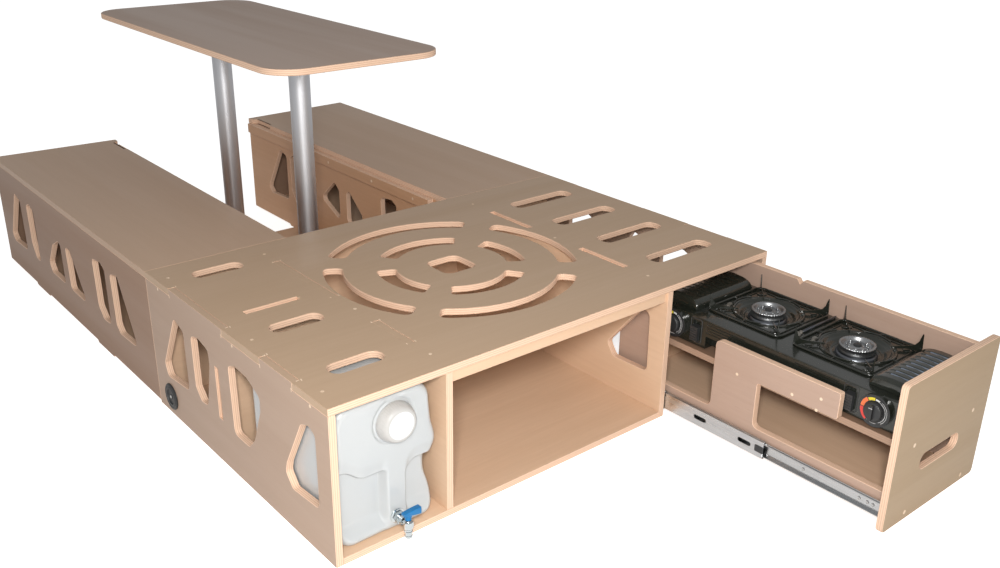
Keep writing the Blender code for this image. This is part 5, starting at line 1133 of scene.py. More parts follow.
@dataclass
class Bench:
    """One storage bench behind the main box."""

    side: str
    lid_body: str
    ledge_face: int
    screw_places: tuple[float, ...] = (0.897, 1.102, 1.341)
    screw_level: float = 0.2945

    def build(self) -> None:
        """Dress every board of the bench and the screws of its ledge."""
        # The outer side and far end take the darker bench ply, which paints shade on them.
        board_rows = (("outer_side", Axis.X, Axis.Y, SHADED_BENCH), ("inner_side", Axis.X, Axis.Y, AISLE),
                      ("near_end", Axis.Y, Axis.X, BIRCH), ("far_end", Axis.Y, Axis.X, SHADED_BENCH),
                      ("floor", Axis.Z, Axis.Y, BIRCH), ("ledge", Axis.X, Axis.Y, AISLE))
        for name, thickness, grain, finish in board_rows:
            Board(f"{self.side}_bench_{name}", thickness, grain, finish).build()
        Board(f"{self.side}_bench_lid", Axis.Z, Axis.Y, LID, self.lid_body, mitre_x=0.5949).build()
        low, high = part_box(f"{self.side}_bench_ledge")
        face = high.x if self.ledge_face > 0 else low.x
        spots = tuple((face, BOX_FRONT + place, self.screw_level) for place in self.screw_places)
        PlugRow(f"{self.side}_ledge_screws", "box", spots, Axis.X, self.ledge_face, PALE_WOOD,
                0.0040).build()
        LOG.info("%s bench dressed", self.side)


# Table

@dataclass
class Table:
    """Table board, its two tube legs and their sockets."""

    collar_height: float = 0.026
    collar_wall: float = 0.0016
    flange: float = 0.0028
    screw_circle: float = 0.058

    def build_leg(self, name: str) -> None:
        """Drawn tube leg with a dark collar under the table."""
        node = "table_leg_" + name
        dress(node + "_tube", solid_skin(node), "box", TUBE_METAL, node=node)
        low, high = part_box(node)
        (x, y, _), radius = midpoint(node), (high.x - low.x) / 2
        hub_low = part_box("table_socket_" + name)[0].z
        wide, wall = radius + self.collar_wall, radius + 0.0001
        top, foot = hub_low - 0.0006, hub_low - self.collar_height
        section = np.array([(wall, foot), (wide * 0.985, foot), (wide, foot + 0.002), (wide, top - 0.002),
                            (wide * 0.985, top), (wall, top)])
        dress("leg_collar_" + name, ring(section).moved((x, y, 0.0)), "box", BLACK)

    def build_socket(self, node: str, body: str, up: int) -> None:
        """Cast socket: its solid's own shape, with four screws in the flange."""
        dress(node + "_cast", solid_skin(node), body, SOCKET_METAL, node=node)
        low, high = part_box(node)
        x, y, _ = midpoint(node)
        face = low.z + self.flange if up > 0 else high.z - self.flange
        spots = tuple((x + self.screw_circle * math.cos(a), y + self.screw_circle * math.sin(a), face)
                      for a in np.radians((45.0, 135.0, 225.0, 315.0)))
        PlugRow(node + "_screws", body, spots, Axis.Z, up, SCREW, 0.0045, 0.0012).build()

    def build(self) -> None:
        """Dress the table."""
        Board("table_top", Axis.Z, Axis.Y, SLATE, "table", edge_round=0.0022).build()
        Board("floor_plate", Axis.Z, Axis.Y, BIRCH).build()
        for name in ("front", "rear"):
            self.build_leg(name)
            self.build_socket("floor_socket_" + name, "box", 1)
            self.build_socket("table_socket_" + name, "table", -1)
        LOG.info("table dressed")


# Drawer

@dataclass
class Drawer:
    """Drawer boards, their screws and the ball-bearing slides."""

    plug_room: float = 0.0004
    web: float = 0.0012
    clip_thickness: float = 0.0006
    rivets: tuple[float, ...] = (0.022, 0.034, 0.052, 0.180)

    def boards(self) -> list[Board]:
        """Every board of the drawer."""
        return [
            Board("drawer_front", Axis.Y, Axis.X, TAN, "drawer", edge_round=0.0018,
                  shave=self.plug_room),
            Board("drawer_left_side", Axis.X, Axis.Y, PANEL, "drawer", cut_round=0.0014, edge_round=0.0012),
            Board("drawer_right_side", Axis.X, Axis.Y, PANEL, "drawer", edge_round=0.0012),
            Board("drawer_back", Axis.Y, Axis.X, BIRCH, "drawer"),
            Board("drawer_floor", Axis.Z, Axis.Y, BIRCH, "drawer"),
            # The shelf's darker ply paints the shadow it lies in.
            Board("stove_shelf", Axis.Z, Axis.Y, SHADED_SHELF, "drawer"),
        ]

    def build_screws(self) -> None:
        """Plugs in the drawer's front and screws in its left side."""
        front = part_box("drawer_front")[0].y + self.plug_room
        plugs = [(BOX_LEFT + a, front, b) for a, b in ((0.913, 0.175), (1.133, 0.172), (0.925, 0.021),
                                                       (1.139, 0.018))]
        PlugRow("drawer_front_plugs", "drawer", tuple(plugs), Axis.Y, -1, PALE_WOOD, 0.0045).build()
        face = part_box("drawer_left_side")[0].x
        spots = [(face, BOX_FRONT + a, b) for a, b in ((-0.178, 0.177), (-0.314, 0.188), (-0.379, 0.206),
                                                       (-0.372, 0.178))]
        PlugRow("drawer_side_screws", "drawer", tuple(spots), Axis.X, -1).build()

    def build_slides(self) -> None:
        """Plated channels, each its solid's own shape, with a black clip and bright rivets."""
        for side in ("left", "right"):
            for member, body in (("cabinet", "box"), ("middle", "slide_middles"), ("drawer", "drawer")):
                node = f"slide_{member}_{side}"
                dress(node + "_plated", solid_skin(node), body, ZINC, node=node)
        self.build_clips()

    def build_clips(self) -> None:
        """Black plastic clip on the front end of each middle channel, and rivets in the channels."""
        for side, sign in (("left", -1), ("right", 1)):
            low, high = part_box("slide_middle_" + side)
            x = low.x if sign < 0 else high.x
            section = rounded_rectangle(0.016, 0.022, 0.003)
            clip = prism(section, 0.0, self.clip_thickness).upright_to(Axis.X, sign)
            clip = clip.moved((x + sign * 0.0001, low.y + 0.010, (low.z + high.z) / 2))
            dress("slide_clip_" + side, clip, "slide_middles", BLACK, soft=0.0002)
            low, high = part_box("slide_drawer_" + side)
            web = high.x - self.web if sign < 0 else low.x + self.web
            spots = tuple((web, low.y + place, (low.z + high.z) / 2) for place in self.rivets)
            PlugRow("slide_rivets_" + side, "drawer", spots, Axis.X, sign, SCREW, 0.0036, 0.0012).build()

    def build(self) -> None:
        """Dress the drawer."""
        for board in self.boards():
            board.build()
        self.build_screws()
        self.build_slides()
        LOG.info("drawer dressed")


# Stove

class Burner(Enum):
    """The two burners, near the drawer's front and far from it."""

    NEAR = "near"
    FAR = "far"


@dataclass
class Stove:
    """Twin stove: pressed body, burners, pan supports, covers, knobs and latches."""

    boss_reach: float = 0.010
    louvre_count: int = 9
    louvre_width: float = 0.007
    louvre_gap: float = 0.022
    bowl_radius: float = 0.0746
    bowl_depth: float = 0.0155
    flute: float = 0.0007
    line_size: float = 0.1655
    pad_reach: float = 0.0695
    louvre_depth: float = 0.0015
    front: float = field(init=False)
    top: float = field(init=False)
    near: float = field(init=False)
    length: float = field(init=False)

    def __post_init__(self) -> None:
        """Read where the stove's solid stands."""
        low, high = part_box("stove_body")
        self.front = low.x + self.boss_reach
        self.top, self.near, self.length = high.z, low.y, high.y - low.y

    def centre(self, which: Burner) -> tuple[float, float]:
        """Middle of a burner."""
        return midpoint("burner_" + which.value)[:2]

    def build_body(self) -> None:
        """Black enamelled body, its deck set with a raised line and corner pads round each bowl."""
        piece = dress("stove_body_enamel", solid_skin("stove_body"), "drawer", ENAMEL, 32.0)
        flatten(piece.data, None, 32.0)
        soften(piece, 0.0005)
        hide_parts("stove_body")
        lines, pads = [], []
        for which in Burner:
            x, y = self.centre(which)
            path = np.column_stack([rounded_rectangle(self.line_size, self.line_size, 0.012, 10),
                                    np.zeros(44)])
            lines.append(tube(path, 0.0016, (0.0, 0.0, 1.0), True, 10, 0.7).moved((x, y, self.top)))
            for a, b in ((-1, -1), (1, -1), (1, 1), (-1, 1)):
                outline = rounded_rectangle(0.022, 0.013, 0.005, 5)
                pad = prism(outline, -0.0006, 0.0012).spun(Axis.Z, 45.0 * a * b + 90.0)
                pads.append(pad.moved((x + self.pad_reach * a, y + self.pad_reach * b, self.top)))
        dress("stove_raised_lines", joined(lines), "drawer", ENAMEL)
        dress("stove_corner_pads", joined(pads), "drawer", ENAMEL, soft=0.0008)

    def build_gas_line(self) -> None:
        """Gas line between the burners, with its clip and lever, and a post beside each bowl."""
        x, y = self.centre(Burner.NEAR)
        far_x, far_y = self.centre(Burner.FAR)
        middle = (y + far_y) / 2
        path = np.column_stack([np.linspace(x - 0.030, x + 0.092, 12), np.full(12, middle),
                                np.full(12, self.top + 0.0022)])
        pipe = tube(path, 0.0026, (0.0, 0.0, 1.0), False, 14)
        bead = [(0.0, -0.0012), (0.0034, -0.0012), (0.0036, 0.0), (0.0034, 0.0012), (0.0, 0.0012)]
        bead = lathe(bead, 20).upright_to(Axis.X)
        beads = [bead.moved((x - 0.024 + 0.0046 * k, middle, self.top + 0.0024)) for k in range(8)]
        dress("gas_line", joined([pipe, *beads]), "drawer", DARK_STEEL)
        lever = prism(rounded_rectangle(0.020, 0.012, 0.0045, 6), -0.0004, 0.0034).spun(Axis.Z, 24.0)
        stub = lathe([(0.0, 0.0), (0.0042, 0.0), (0.0040, 0.0050), (0.0030, 0.0058), (0.0, 0.0058)], 24)
        lever = joined([lever.moved((x - 0.047, middle, self.top)),
                        stub.moved((x - 0.0365, middle, self.top))])
        dress("gas_line_lever", lever, "drawer", WORN_ALLOY, soft=0.0006)
        posts = []
        for a, b in ((x, y), (far_x, far_y)):
            post = lathe([(0.0, -0.0003), (0.0052, -0.0003), (0.0050, 0.0026), (0.0034, 0.0034),
                          (0.0032, 0.0056), (0.0, 0.0060)], 28)
            block = prism(rounded_rectangle(0.011, 0.008, 0.0022, 4), -0.0003, 0.0036)
            posts += [post.moved((a - 0.0500, b + 0.0725, self.top)),
                      block.moved((a - 0.0360, b + 0.0775, self.top))]
        dress("igniter_posts", joined(posts), "drawer", WORN_ALLOY)

    def build_bowl(self, which: Burner) -> None:
        """Bowl liner: ridged rings step down from a rolled rim to the floor."""
        x, y = self.centre(which)
        r = self.bowl_radius
        rim = [(r + 0.0046, -0.0016), (r + 0.0044, 0.0010), (r + 0.0030, 0.0020), (r + 0.0008, 0.0018),
               (r - 0.0012, 0.0006)]
        steps = np.linspace(0.0, 1.0, 40)
        radius = r - 0.0014 - (r * 0.44) * steps
        height = -self.bowl_depth * 0.93 * ease(steps, 0.0, 0.75) + 0.0009 * np.sin(steps * math.tau * 3.0)
        down = list(zip(radius.tolist(), height.tolist()))
        under = [(radius[-1], -self.bowl_depth), (r - 0.0002, -self.bowl_depth), (r - 0.0002, -0.0017)]
        section = np.array([(a, b) for a, b in rim + down + under])
        dress("bowl_liner_" + which.value, ring(section, 72).moved((x, y, self.top)), "drawer", ENAMEL)

    def build_burner(self, which: Burner) -> None:
        """Burner: a dark base and a bright head with a beaded rim and eight posts in its dish.

        A bead draws the rim in and down by a share of half of one plus the cosine of forty
        times the angle.
        """
        x, y = self.centre(which)
        low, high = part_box("burner_" + which.value)
        floor, top = low.z, high.z
        base_radius = (high.x - low.x) / 2
        base = lathe([(0.0, 0.0), (base_radius, 0.0), (base_radius, 0.0030), (base_radius * 0.95, 0.0060),
                      (base_radius * 0.90, 0.0075), (base_radius * 0.89, 0.0110), (0.0, 0.0110)], 64)
        dress("burner_base_" + which.value, base.moved((x, y, floor)), "drawer", DARK_STEEL,
              node="burner_" + which.value)
        tall = top - floor
        outer = base_radius * 0.885
        wall = np.array([(outer, 0.010), (outer * 1.01, 0.012), (outer * 0.97, 0.014),
                         (outer * 0.985, tall - 0.0045), (outer * 1.00, tall - 0.0030),
                         (outer * 0.975, tall - 0.0006), (outer * 0.93, tall)])
        radii = np.linspace(outer * 0.90, 0.0, 46)
        share = radii / outer
        dish = tall - 0.0085 * (1.0 - ease(share, 0.70, 0.88)) + 0.0030 * (1.0 - ease(share, 0.20, 0.34))
        swell = np.array([0.0, 0.0, 0.0, 0.4, 1.0, 0.9, 0.5])
        head = waved(np.concatenate([[0.0], wall[:, 0], radii]), np.concatenate([[0.010], wall[:, 1], dish]),
                     0.0008 * np.concatenate([[0.0], swell, np.zeros(len(dish))]), 40, 240, 1.25)
        post = lathe([(0.0, tall - 0.0100), (0.0022, tall - 0.0100), (0.0021, tall - 0.0040),
                      (0.0015, tall - 0.0026), (0.0, tall - 0.0020)], 16).scaled((1.0, 1.7, 1.0))
        posts = [post.moved((outer * 0.56, 0.0, 0.0)).spun(Axis.Z, 22.5 + 45.0 * k) for k in range(8)]
        head = joined([head, *posts])
        dress("burner_head_" + which.value, head.moved((x, y, floor)), "drawer", CAST, 60.0)
        hub = lathe([(0.0, tall - 0.010), (0.0085, tall - 0.010), (0.0085, tall - 0.0032),
                     (0.0070, tall - 0.0022), (0.0, tall - 0.0018)], 32)
        dress("burner_hub_" + which.value, hub.moved((x, y, floor)), "drawer", BLACK)

    def build_support(self, which: Burner) -> None:
        """Pan support: a bent rod frame with a pointed fin and a curved arm at each corner."""
        node = "pan_support_" + which.value
        low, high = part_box(node)
        (x, y, _), size = midpoint(node), high.x - low.x
        rod = 0.0026
        outline = rounded_rectangle(size - 2 * rod, size - 2 * rod, 0.018, 8)
        frame_rod = tube(np.column_stack([outline, np.full(len(outline), rod)]), rod, (0.0, 0.0, 1.0), True,
                         12)
        tall = high.z - low.z
        reach = (size / 2 - 0.020) * math.sqrt(2.0) + 0.020
        fin = np.array([(0.0, 0.0), (-0.0005, 0.006), (0.0010, tall - 0.002), (0.0022, tall),
                        (0.0036, tall - 0.003), (0.0078, 0.021), (0.0140, 0.0135), (0.0300, 0.0100),
                        (0.0620, 0.0075), (0.0640, 0.0040), (0.0600, 0.0028), (0.0300, 0.0035),
                        (0.0120, 0.0004)])
        plate = prism(fin, -0.0009, 0.0009)
        upright = plate.reordered((0, 2, 1), (-1.0, 1.0, 1.0))
        fins = [upright.moved((reach - 0.001, 0.0, 0.0)).spun(Axis.Z, 45.0 + 90.0 * k) for k in range(4)]
        share = np.linspace(0.0, 1.0, 16)
        bow = np.column_stack([0.070 + 0.010 * np.sin(share * math.pi), (share - 0.5) * 0.066,
                               0.0045 + 0.0 * share])
        arms = [tube(bow, 0.0016, (0.0, 0.0, 1.0), False, 8).spun(Axis.Z, 90.0 * k) for k in range(4)]
        braces = []
        for k in range(4):
            path = np.column_stack([np.linspace(0.078, size / 2 - rod, 6), np.zeros(6),
                                    np.linspace(0.0045, rod, 6)])
            braces.append(tube(path, 0.0016, (0.0, 0.0, 1.0), False, 8).spun(Axis.Z, 90.0 * k))
        whole = joined([frame_rod, *fins, *arms, *braces]).moved((x, y, low.z))
        dress(node + "_rods", whole, "support_" + which.value, ENAMEL, node=node)

    def build_cover(self, which: Burner) -> None:
        """Cartridge cover: an arch with a row of sunk louvres across its crown.

        The arch's height is the square root of the sine of its angle, times the rise. A louvre
        takes a share of 1.5 mm off it, eased along the length and across the arch.
        """
        node = "cartridge_cover_" + which.value
        low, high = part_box(node)
        middle, half = (low.y + high.y) / 2, (high.y - low.y) / 2
        rise, length = high.z - low.z, high.x - low.x
        along = np.linspace(0.0, 1.0, 241)[:, None]
        turn = np.linspace(0.0, math.pi, 49)[None, :]
        ends = np.clip(np.minimum(along, 1.0 - along) * length / 0.007, 0.0, 1.0)
        close = np.sqrt(np.clip(1.0 - (1.0 - ends) ** 2, 0.0, 1.0))
        across = np.abs(half * np.cos(turn))
        place = along * length
        pitch = (length - 2 * self.louvre_gap - self.louvre_width) / (self.louvre_count - 1)
        off = np.abs(np.mod(place - self.louvre_gap - self.louvre_width / 2 + pitch / 2, pitch) - pitch / 2)
        inside = (place > self.louvre_gap - 0.004) & (place < length - self.louvre_gap + 0.004)
        sunk = (1.0 - ease(off, self.louvre_width * 0.22, self.louvre_width * 0.55)) * inside
        sunk = sunk * (1.0 - ease(across, half * 0.60, half * 0.72))
        height = (rise - self.louvre_depth * sunk) * np.sqrt(np.sin(turn)) * (0.30 + 0.70 * close)
        points = np.stack([low.x + along * length + 0.0 * turn, middle - half * np.cos(turn) + 0.0 * along,
                           low.z + height], axis=-1)
        count = points.shape[0] * points.shape[1]
        shell = points.reshape(-1, 3)
        under = shell.copy()
        under[:, 2] = low.z
        rows, columns = points.shape[:2]
        faces = grid_faces(rows, columns)
        left = np.arange(rows) * columns
        edges = (np.arange(columns), (rows - 1) * columns + np.arange(columns), left, left + columns - 1)
        walls = [np.stack([edge[:-1], edge[1:], edge[1:] + count, edge[:-1] + count], axis=-1)
                 for edge in edges]
        whole = Skin(np.vstack([shell, under]), [faces, faces[:, ::-1] + count, *walls])
        body = "cover_" + which.value
        dress(node + "_louvred", welded(whole), body, ENAMEL, 50.0, node=node)
        self.build_cover_trim(which, low, high, pitch)

    def build_cover_trim(self, which: Burner, low: object, high: object, pitch: float) -> None:
        """Slats in the near cover's louvres and a beaded hem along the far cover's edge, in a pale bluish
        colour that paints the glossy enamel's reflections.
        """
        middle, body = (low.y + high.y) / 2, "cover_" + which.value
        if which is Burner.NEAR:
            slat = prism(rounded_rectangle(0.0042, 0.040, 0.0018, 5), 0.0, 0.0010).spun(Axis.Y, -9.0)
            base = high.z - 0.0026
            row = [slat.moved((low.x + self.louvre_gap + self.louvre_width / 2 + pitch * k, middle, base))
                   for k in range(self.louvre_count)]
            dress("cover_slats_near", joined(row), body, PAINTED_REFLECTION)
            return
        bead = [(0.0, -0.0016), (0.0020, -0.0010), (0.0024, 0.0002), (0.0016, 0.0016), (0.0, 0.0020)]
        bead = lathe(bead, 14)
        row = [bead.moved((low.x + 0.012 + 0.0052 * k, low.y + 0.0030, low.z + 0.0090)) for k in range(34)]
        dress("cover_hem_far", joined(row), body, PAINTED_REFLECTION)

    def build_dial(self, which: Burner) -> None:
        """Round dial: a dished plate, a coloured band on one side and white scale arcs on the other."""
        _, y, z = midpoint("gas_knob_" + which.value)
        face = self.front - self.boss_reach
        profile = [(0.0, 0.0001), (0.0328, 0.0001), (0.0324, 0.0009), (0.0306, 0.0012), (0.0290, 0.0007),
                   (0.0212, 0.0005), (0.0, 0.0005)]
        place = (face, y, z)
        plate = lathe(profile, 72).upright_to(Axis.X, -1).moved(place)
        dress("dial_plate_" + which.value, plate, "drawer", BLACK)
        bands = ((INK_YELLOW, "yellow", ((4.0, 36.0, 0.0218, 0.0275),)),
                 (INK_ORANGE, "orange", ((40.0, 86.0, 0.0218, 0.0295),)),
                 (INK_RED, "red", ((90.0, 146.0, 0.0218, 0.0295),)),
                 (INK_WHITE, "white", ((-22.0, -150.0, 0.0226, 0.0233), (-30.0, -140.0, 0.0262, 0.0268),
                                       (0.0, -20.0, 0.0226, 0.0262), (150.0, 196.0, 0.0250, 0.0256))))
        for ink, label, arcs in bands:
            pieces = [self.arc(*spec).moved(place) for spec in arcs]
            dress(f"dial_{label}_{which.value}", joined(pieces), "drawer", ink)

    def arc(self, start: float, end: float, inner: float, outer: float) -> Skin:
        """Flat arc on the dial: a band between two radii, its angles measured from up to the back."""
        turns = np.radians(np.linspace(start, end, 24))
        path = np.column_stack([np.sin(turns), np.cos(turns)])
        outline = np.vstack([path * outer, path[::-1] * inner])
        return prism(outline, 0.0003, 0.0008).reordered((2, 0, 1), (-1.0, 1.0, 1.0))

    def build_knob(self, which: Burner) -> None:
        """Gas knob: a fluted skirt and a tall grip bar with a pale pointer."""
        node = "gas_knob_" + which.value
        low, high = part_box(node)
        _, y, z = midpoint(node)
        radius, reach = (high.y - low.y) / 2, self.front - self.boss_reach - low.x
        radii = np.array([0.0, radius * 0.98, radius * 0.99, radius * 0.96, radius * 0.90, radius * 0.86,
                          0.0])
        heights = np.array([0.0011, 0.0011, reach * 0.30, reach * 0.46, reach * 0.55, reach * 0.57,
                            reach * 0.57])
        depth = self.flute * np.array([0.0, 1.0, 1.0, 0.8, 0.2, 0.0, 0.0])
        skirt = waved(radii - (0.0002 - depth / 2) * (radii > 0.0), heights, depth, 36, 144)
        bar = prism(rounded_rectangle(radius * 1.66, 0.0072, 0.0034, 6), 0.004, reach)
        knob = joined([skirt, bar]).upright_to(Axis.X, -1).moved((self.front - self.boss_reach, y, z))
        body = "knob_" + which.value
        dress(node + "_fluted", knob, body, BLACK, 42.0, node=node, soft=0.0008)
        mark = prism(rounded_rectangle(0.0011, radius * 0.42, 0.0005, 3), -0.0002, 0.0002)
        mark = mark.upright_to(Axis.X, -1).moved((low.x, y, z + radius * 0.55))
        dress("knob_pointer_" + which.value, mark, body, INK_WHITE)

    def build_latch(self, which: Burner) -> None:
        """Cartridge latch: a slider whose face is cut into cross ribs, in a raised guide."""
        node = "cartridge_latch_" + which.value
        low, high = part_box(node)
        x, y, z = midpoint(node)
        width, tall, deep = high.y - low.y, high.z - low.z, high.x - low.x
        rows = np.linspace(-tall / 2, tall / 2, 61)
        wave = ease(np.cos((rows / tall + 0.5) * math.tau * 6.0), -0.2, 0.5)
        ribs = 0.0011 * wave * ease(-np.abs(rows), -tall * 0.42, -tall * 0.36)
        section = np.vstack([np.column_stack([-deep / 2 + ribs, rows]),
                             [(deep / 2, tall / 2), (deep / 2, -tall / 2)]])
        slider = prism(section, -width / 2, width / 2).reordered((0, 2, 1)).moved((x, y, z))
        dress(node + "_ribbed", slider, "latch_" + which.value, BLACK, 30.0, node=node)
        guide = np.column_stack([np.zeros(4 * 5), rounded_rectangle(width + 0.010, tall + 0.020, 0.004, 4)])
        rail = tube(guide, 0.0013, (1.0, 0.0, 0.0), True, 8).moved((self.front - 0.0002, y, z + 0.006))
        dress("latch_guide_" + which.value, rail, "drawer", FASCIA)

    def build(self) -> None:
        """Dress the whole stove."""
        self.build_body()
        self.build_gas_line()
        for which in Burner:
            self.build_bowl(which)
            self.build_burner(which)
            self.build_support(which)
            self.build_cover(which)
            self.build_dial(which)
            self.build_knob(which)
            self.build_latch(which)
        LOG.info("stove dressed")


# Water canister

@dataclass
class Canister:
    """Moulded canister with its screw cap and tap."""

    corner: float = 0.030
    edge: float = 0.014
    waist: float = 0.015
    recess: float = 0.019
    rounds: int = 400
    column: float = 0.016
    column_half: float = 0.017
    recess_edge: float = 0.014
    brow: float = 0.474
    cap_face: float = 0.028
    nut_radius: float = 0.0128
    cap_flute: float = 0.0006
    flank: tuple[tuple[float, float], ...] = ((0.000, 0.15), (0.110, 0.0), (0.200, 0.35), (0.300, 1.0),
                                              (0.430, 1.0), (0.515, 0.0), (0.600, 0.0), (0.700, 0.6),
                                              (0.850, 0.9), (1.000, 1.1))

    def outline(self, width: float, height: float) -> np.ndarray:
        """Front outline of the canister.

        Args:
            width: its greatest width.
            height: its height.

        Returns:
            Points anticlockwise from the lower right. Each flank is the half width less a quarter
            circle at each corner, and the right one less a waist eased between shares of the height.
        """
        turn = np.linspace(0.0, math.pi, 241)
        z = height * (1.0 - np.cos(turn)) / 2
        shares, depths = np.array(self.flank).T
        smooth = np.interp(z / height, shares, depths)
        window = np.hanning(27)
        padded = np.pad(smooth, 13, mode="edge")
        smooth = np.convolve(padded, window / window.sum(), mode="valid")
        near_end = np.minimum(z, height - z)
        short = np.clip(self.corner - near_end, 0.0, self.corner)
        corner = self.corner - np.sqrt(self.corner ** 2 - short ** 2)
        right = np.column_stack([width / 2 - self.waist * smooth - corner, z])
        left = np.column_stack([(corner - width / 2)[::-1], z[::-1]])
        loop = np.vstack([right, left, right[:1]])
        steps = np.concatenate([[0.0], np.cumsum(np.linalg.norm(np.diff(loop, axis=0), axis=1))])
        spots = np.linspace(0.0, steps[-1], self.rounds, endpoint=False)
        return np.column_stack([np.interp(spots, steps, loop[:, 0]), np.interp(spots, steps, loop[:, 1])])

    def relief(self, x: np.ndarray, z: np.ndarray, width: float, height: float) -> np.ndarray:
        """Depth of the moulded front at a place.

        Args:
            x: places across, from the middle.
            z: places up, from the bottom.
            width: the canister's width.
            height: its height.

        Returns:
            The recess depth times a product of eased steps: under the upper block, beside the
            column and over the foot, with a slight lean above it and a shallow ring round the cap.
        """
        share = z / height
        start, end = self.column - self.column_half, self.column + self.column_half
        edge = self.edge - width / 2
        left_brow = self.brow + 0.087 * (1.0 - ease(x, edge, edge + 0.045))
        right_brow = self.brow - 0.052 * (1.0 - ease(x, end, end + 0.028))
        brow = np.where(x > self.column, right_brow, left_brow)
        under = 1.0 - ease(share, brow - 0.031, brow + 0.002)
        beside = 1.0 - ease(x, start - self.recess_edge, start) * (1.0 - ease(x, end, end + self.recess_edge))
        foot = ease(share, 0.030, 0.150)
        lean = 0.0040 * (1.0 - ease(share, brow, brow + 0.100)) * (1.0 - under)
        gap = np.hypot(x - 0.014, z - 0.8055 * height)
        groove = 0.0022 * np.exp(-((gap - 0.0435) / 0.0028) ** 2)
        return (self.recess * under + lean) * beside * foot + groove

    def build_body(self) -> None:
        """Closed skin: rings spread over the front, round its edge, back along the sides and in."""
        low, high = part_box("water_canister")
        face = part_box("canister_cap")[1].y + 0.0003
        width, height, depth = high.x - low.x, high.z - low.z, high.y - face
        outline = self.outline(width, height)
        centre = np.array([0.0, height * 0.5])
        rim = outline - centre
        far = np.linalg.norm(rim, axis=1, keepdims=True)
        inset = rim * (1.0 - self.edge / far)
        shares = np.concatenate([[0.0], np.linspace(0.02, 1.0, 150)])[:, None, None]
        cap = centre + inset[None] * shares
        hollow = self.relief(cap[..., 0], cap[..., 1], width, height)
        edge_hollow = hollow[-1]
        turns = np.linspace(0.0, math.pi / 2, 9)[1:, None]
        bend = centre + inset[None] + (rim - inset)[None] * np.sin(turns)[..., None]
        bend_y = edge_hollow[None] + self.edge * (1.0 - np.cos(turns))
        runs = np.linspace(0.0, 1.0, 14)[1:-1, None]
        start, end = bend_y[-1], depth - self.edge
        side_y = start[None] + (end - start)[None] * runs
        side = np.repeat(outline[None], len(runs), axis=0)
        back_bend = centre + inset[None] + (rim - inset)[None] * np.cos(turns)[..., None]
        back_y = depth - self.edge * (1.0 - np.sin(turns)) + 0.0 * rim[None, :, 0]
        back_start = np.full((1, self.rounds), end)
        closing = centre + inset[None] * np.linspace(0.95, 0.0, 8)[:, None, None]
        closing_y = np.full((8, self.rounds), depth)
        flat = np.concatenate([cap, bend, side, outline[None], back_bend, closing])
        push = np.concatenate([hollow, bend_y, side_y, back_start, back_y, closing_y])
        points = np.stack([flat[..., 0] + (low.x + high.x) / 2, push + face, flat[..., 1] + low.z], axis=-1)
        points[0] = points[0].mean(axis=0)
        rows = points.shape[0]
        skin = welded(Skin(points.reshape(-1, 3), [grid_faces(rows, self.rounds, False, True)])).outward()
        dress("canister_moulded", skin, "canister", CLOUDY, 70.0, node="water_canister")

    def build_cap(self) -> None:
        """Screw cap: a grip of fine flutes below a domed face, with a lighter disc on it as painted light."""
        low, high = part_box("canister_cap")
        x, _, z = midpoint("canister_cap")
        radius, reach = (high.x - low.x) / 2, high.y - low.y
        face_radius = self.cap_face
        radii = np.array([0.0, radius * 0.98, radius, radius * 0.965, radius * 0.90, radius * 0.83,
                          face_radius * 1.10, face_radius * 1.02, face_radius * 0.5, 0.0])
        heights = np.array([0.0, 0.0, 0.0015, reach * 0.35, reach * 0.68, reach * 0.91, reach * 0.985, reach,
                            reach * 0.985, reach * 0.98])
        flute = self.cap_flute * np.array([0.0, 0.0, 1.0, 1.0, 0.8, 0.1, 0.0, 0.0, 0.0, 0.0])
        cap = waved(radii, heights, flute, 48, 192).upright_to(Axis.Y, -1).moved((x, high.y, z))
        dress("canister_cap_fluted", cap, "cap", WHITE, 40.0, node="canister_cap")
        # The face disc is the same plastic painted lighter, as painted light on the side facing the lamps.
        disc = lathe([(0.0, -0.0010), (face_radius, -0.0010), (face_radius, 0.0),
                      (face_radius * 0.96, 0.0003), (0.0, 0.0003)], 64)
        disc = disc.upright_to(Axis.Y, -1).moved((x, high.y - reach + 0.0003, z))
        dress("canister_cap_face", disc, "cap", PAINTED_LIGHT_WHITE)

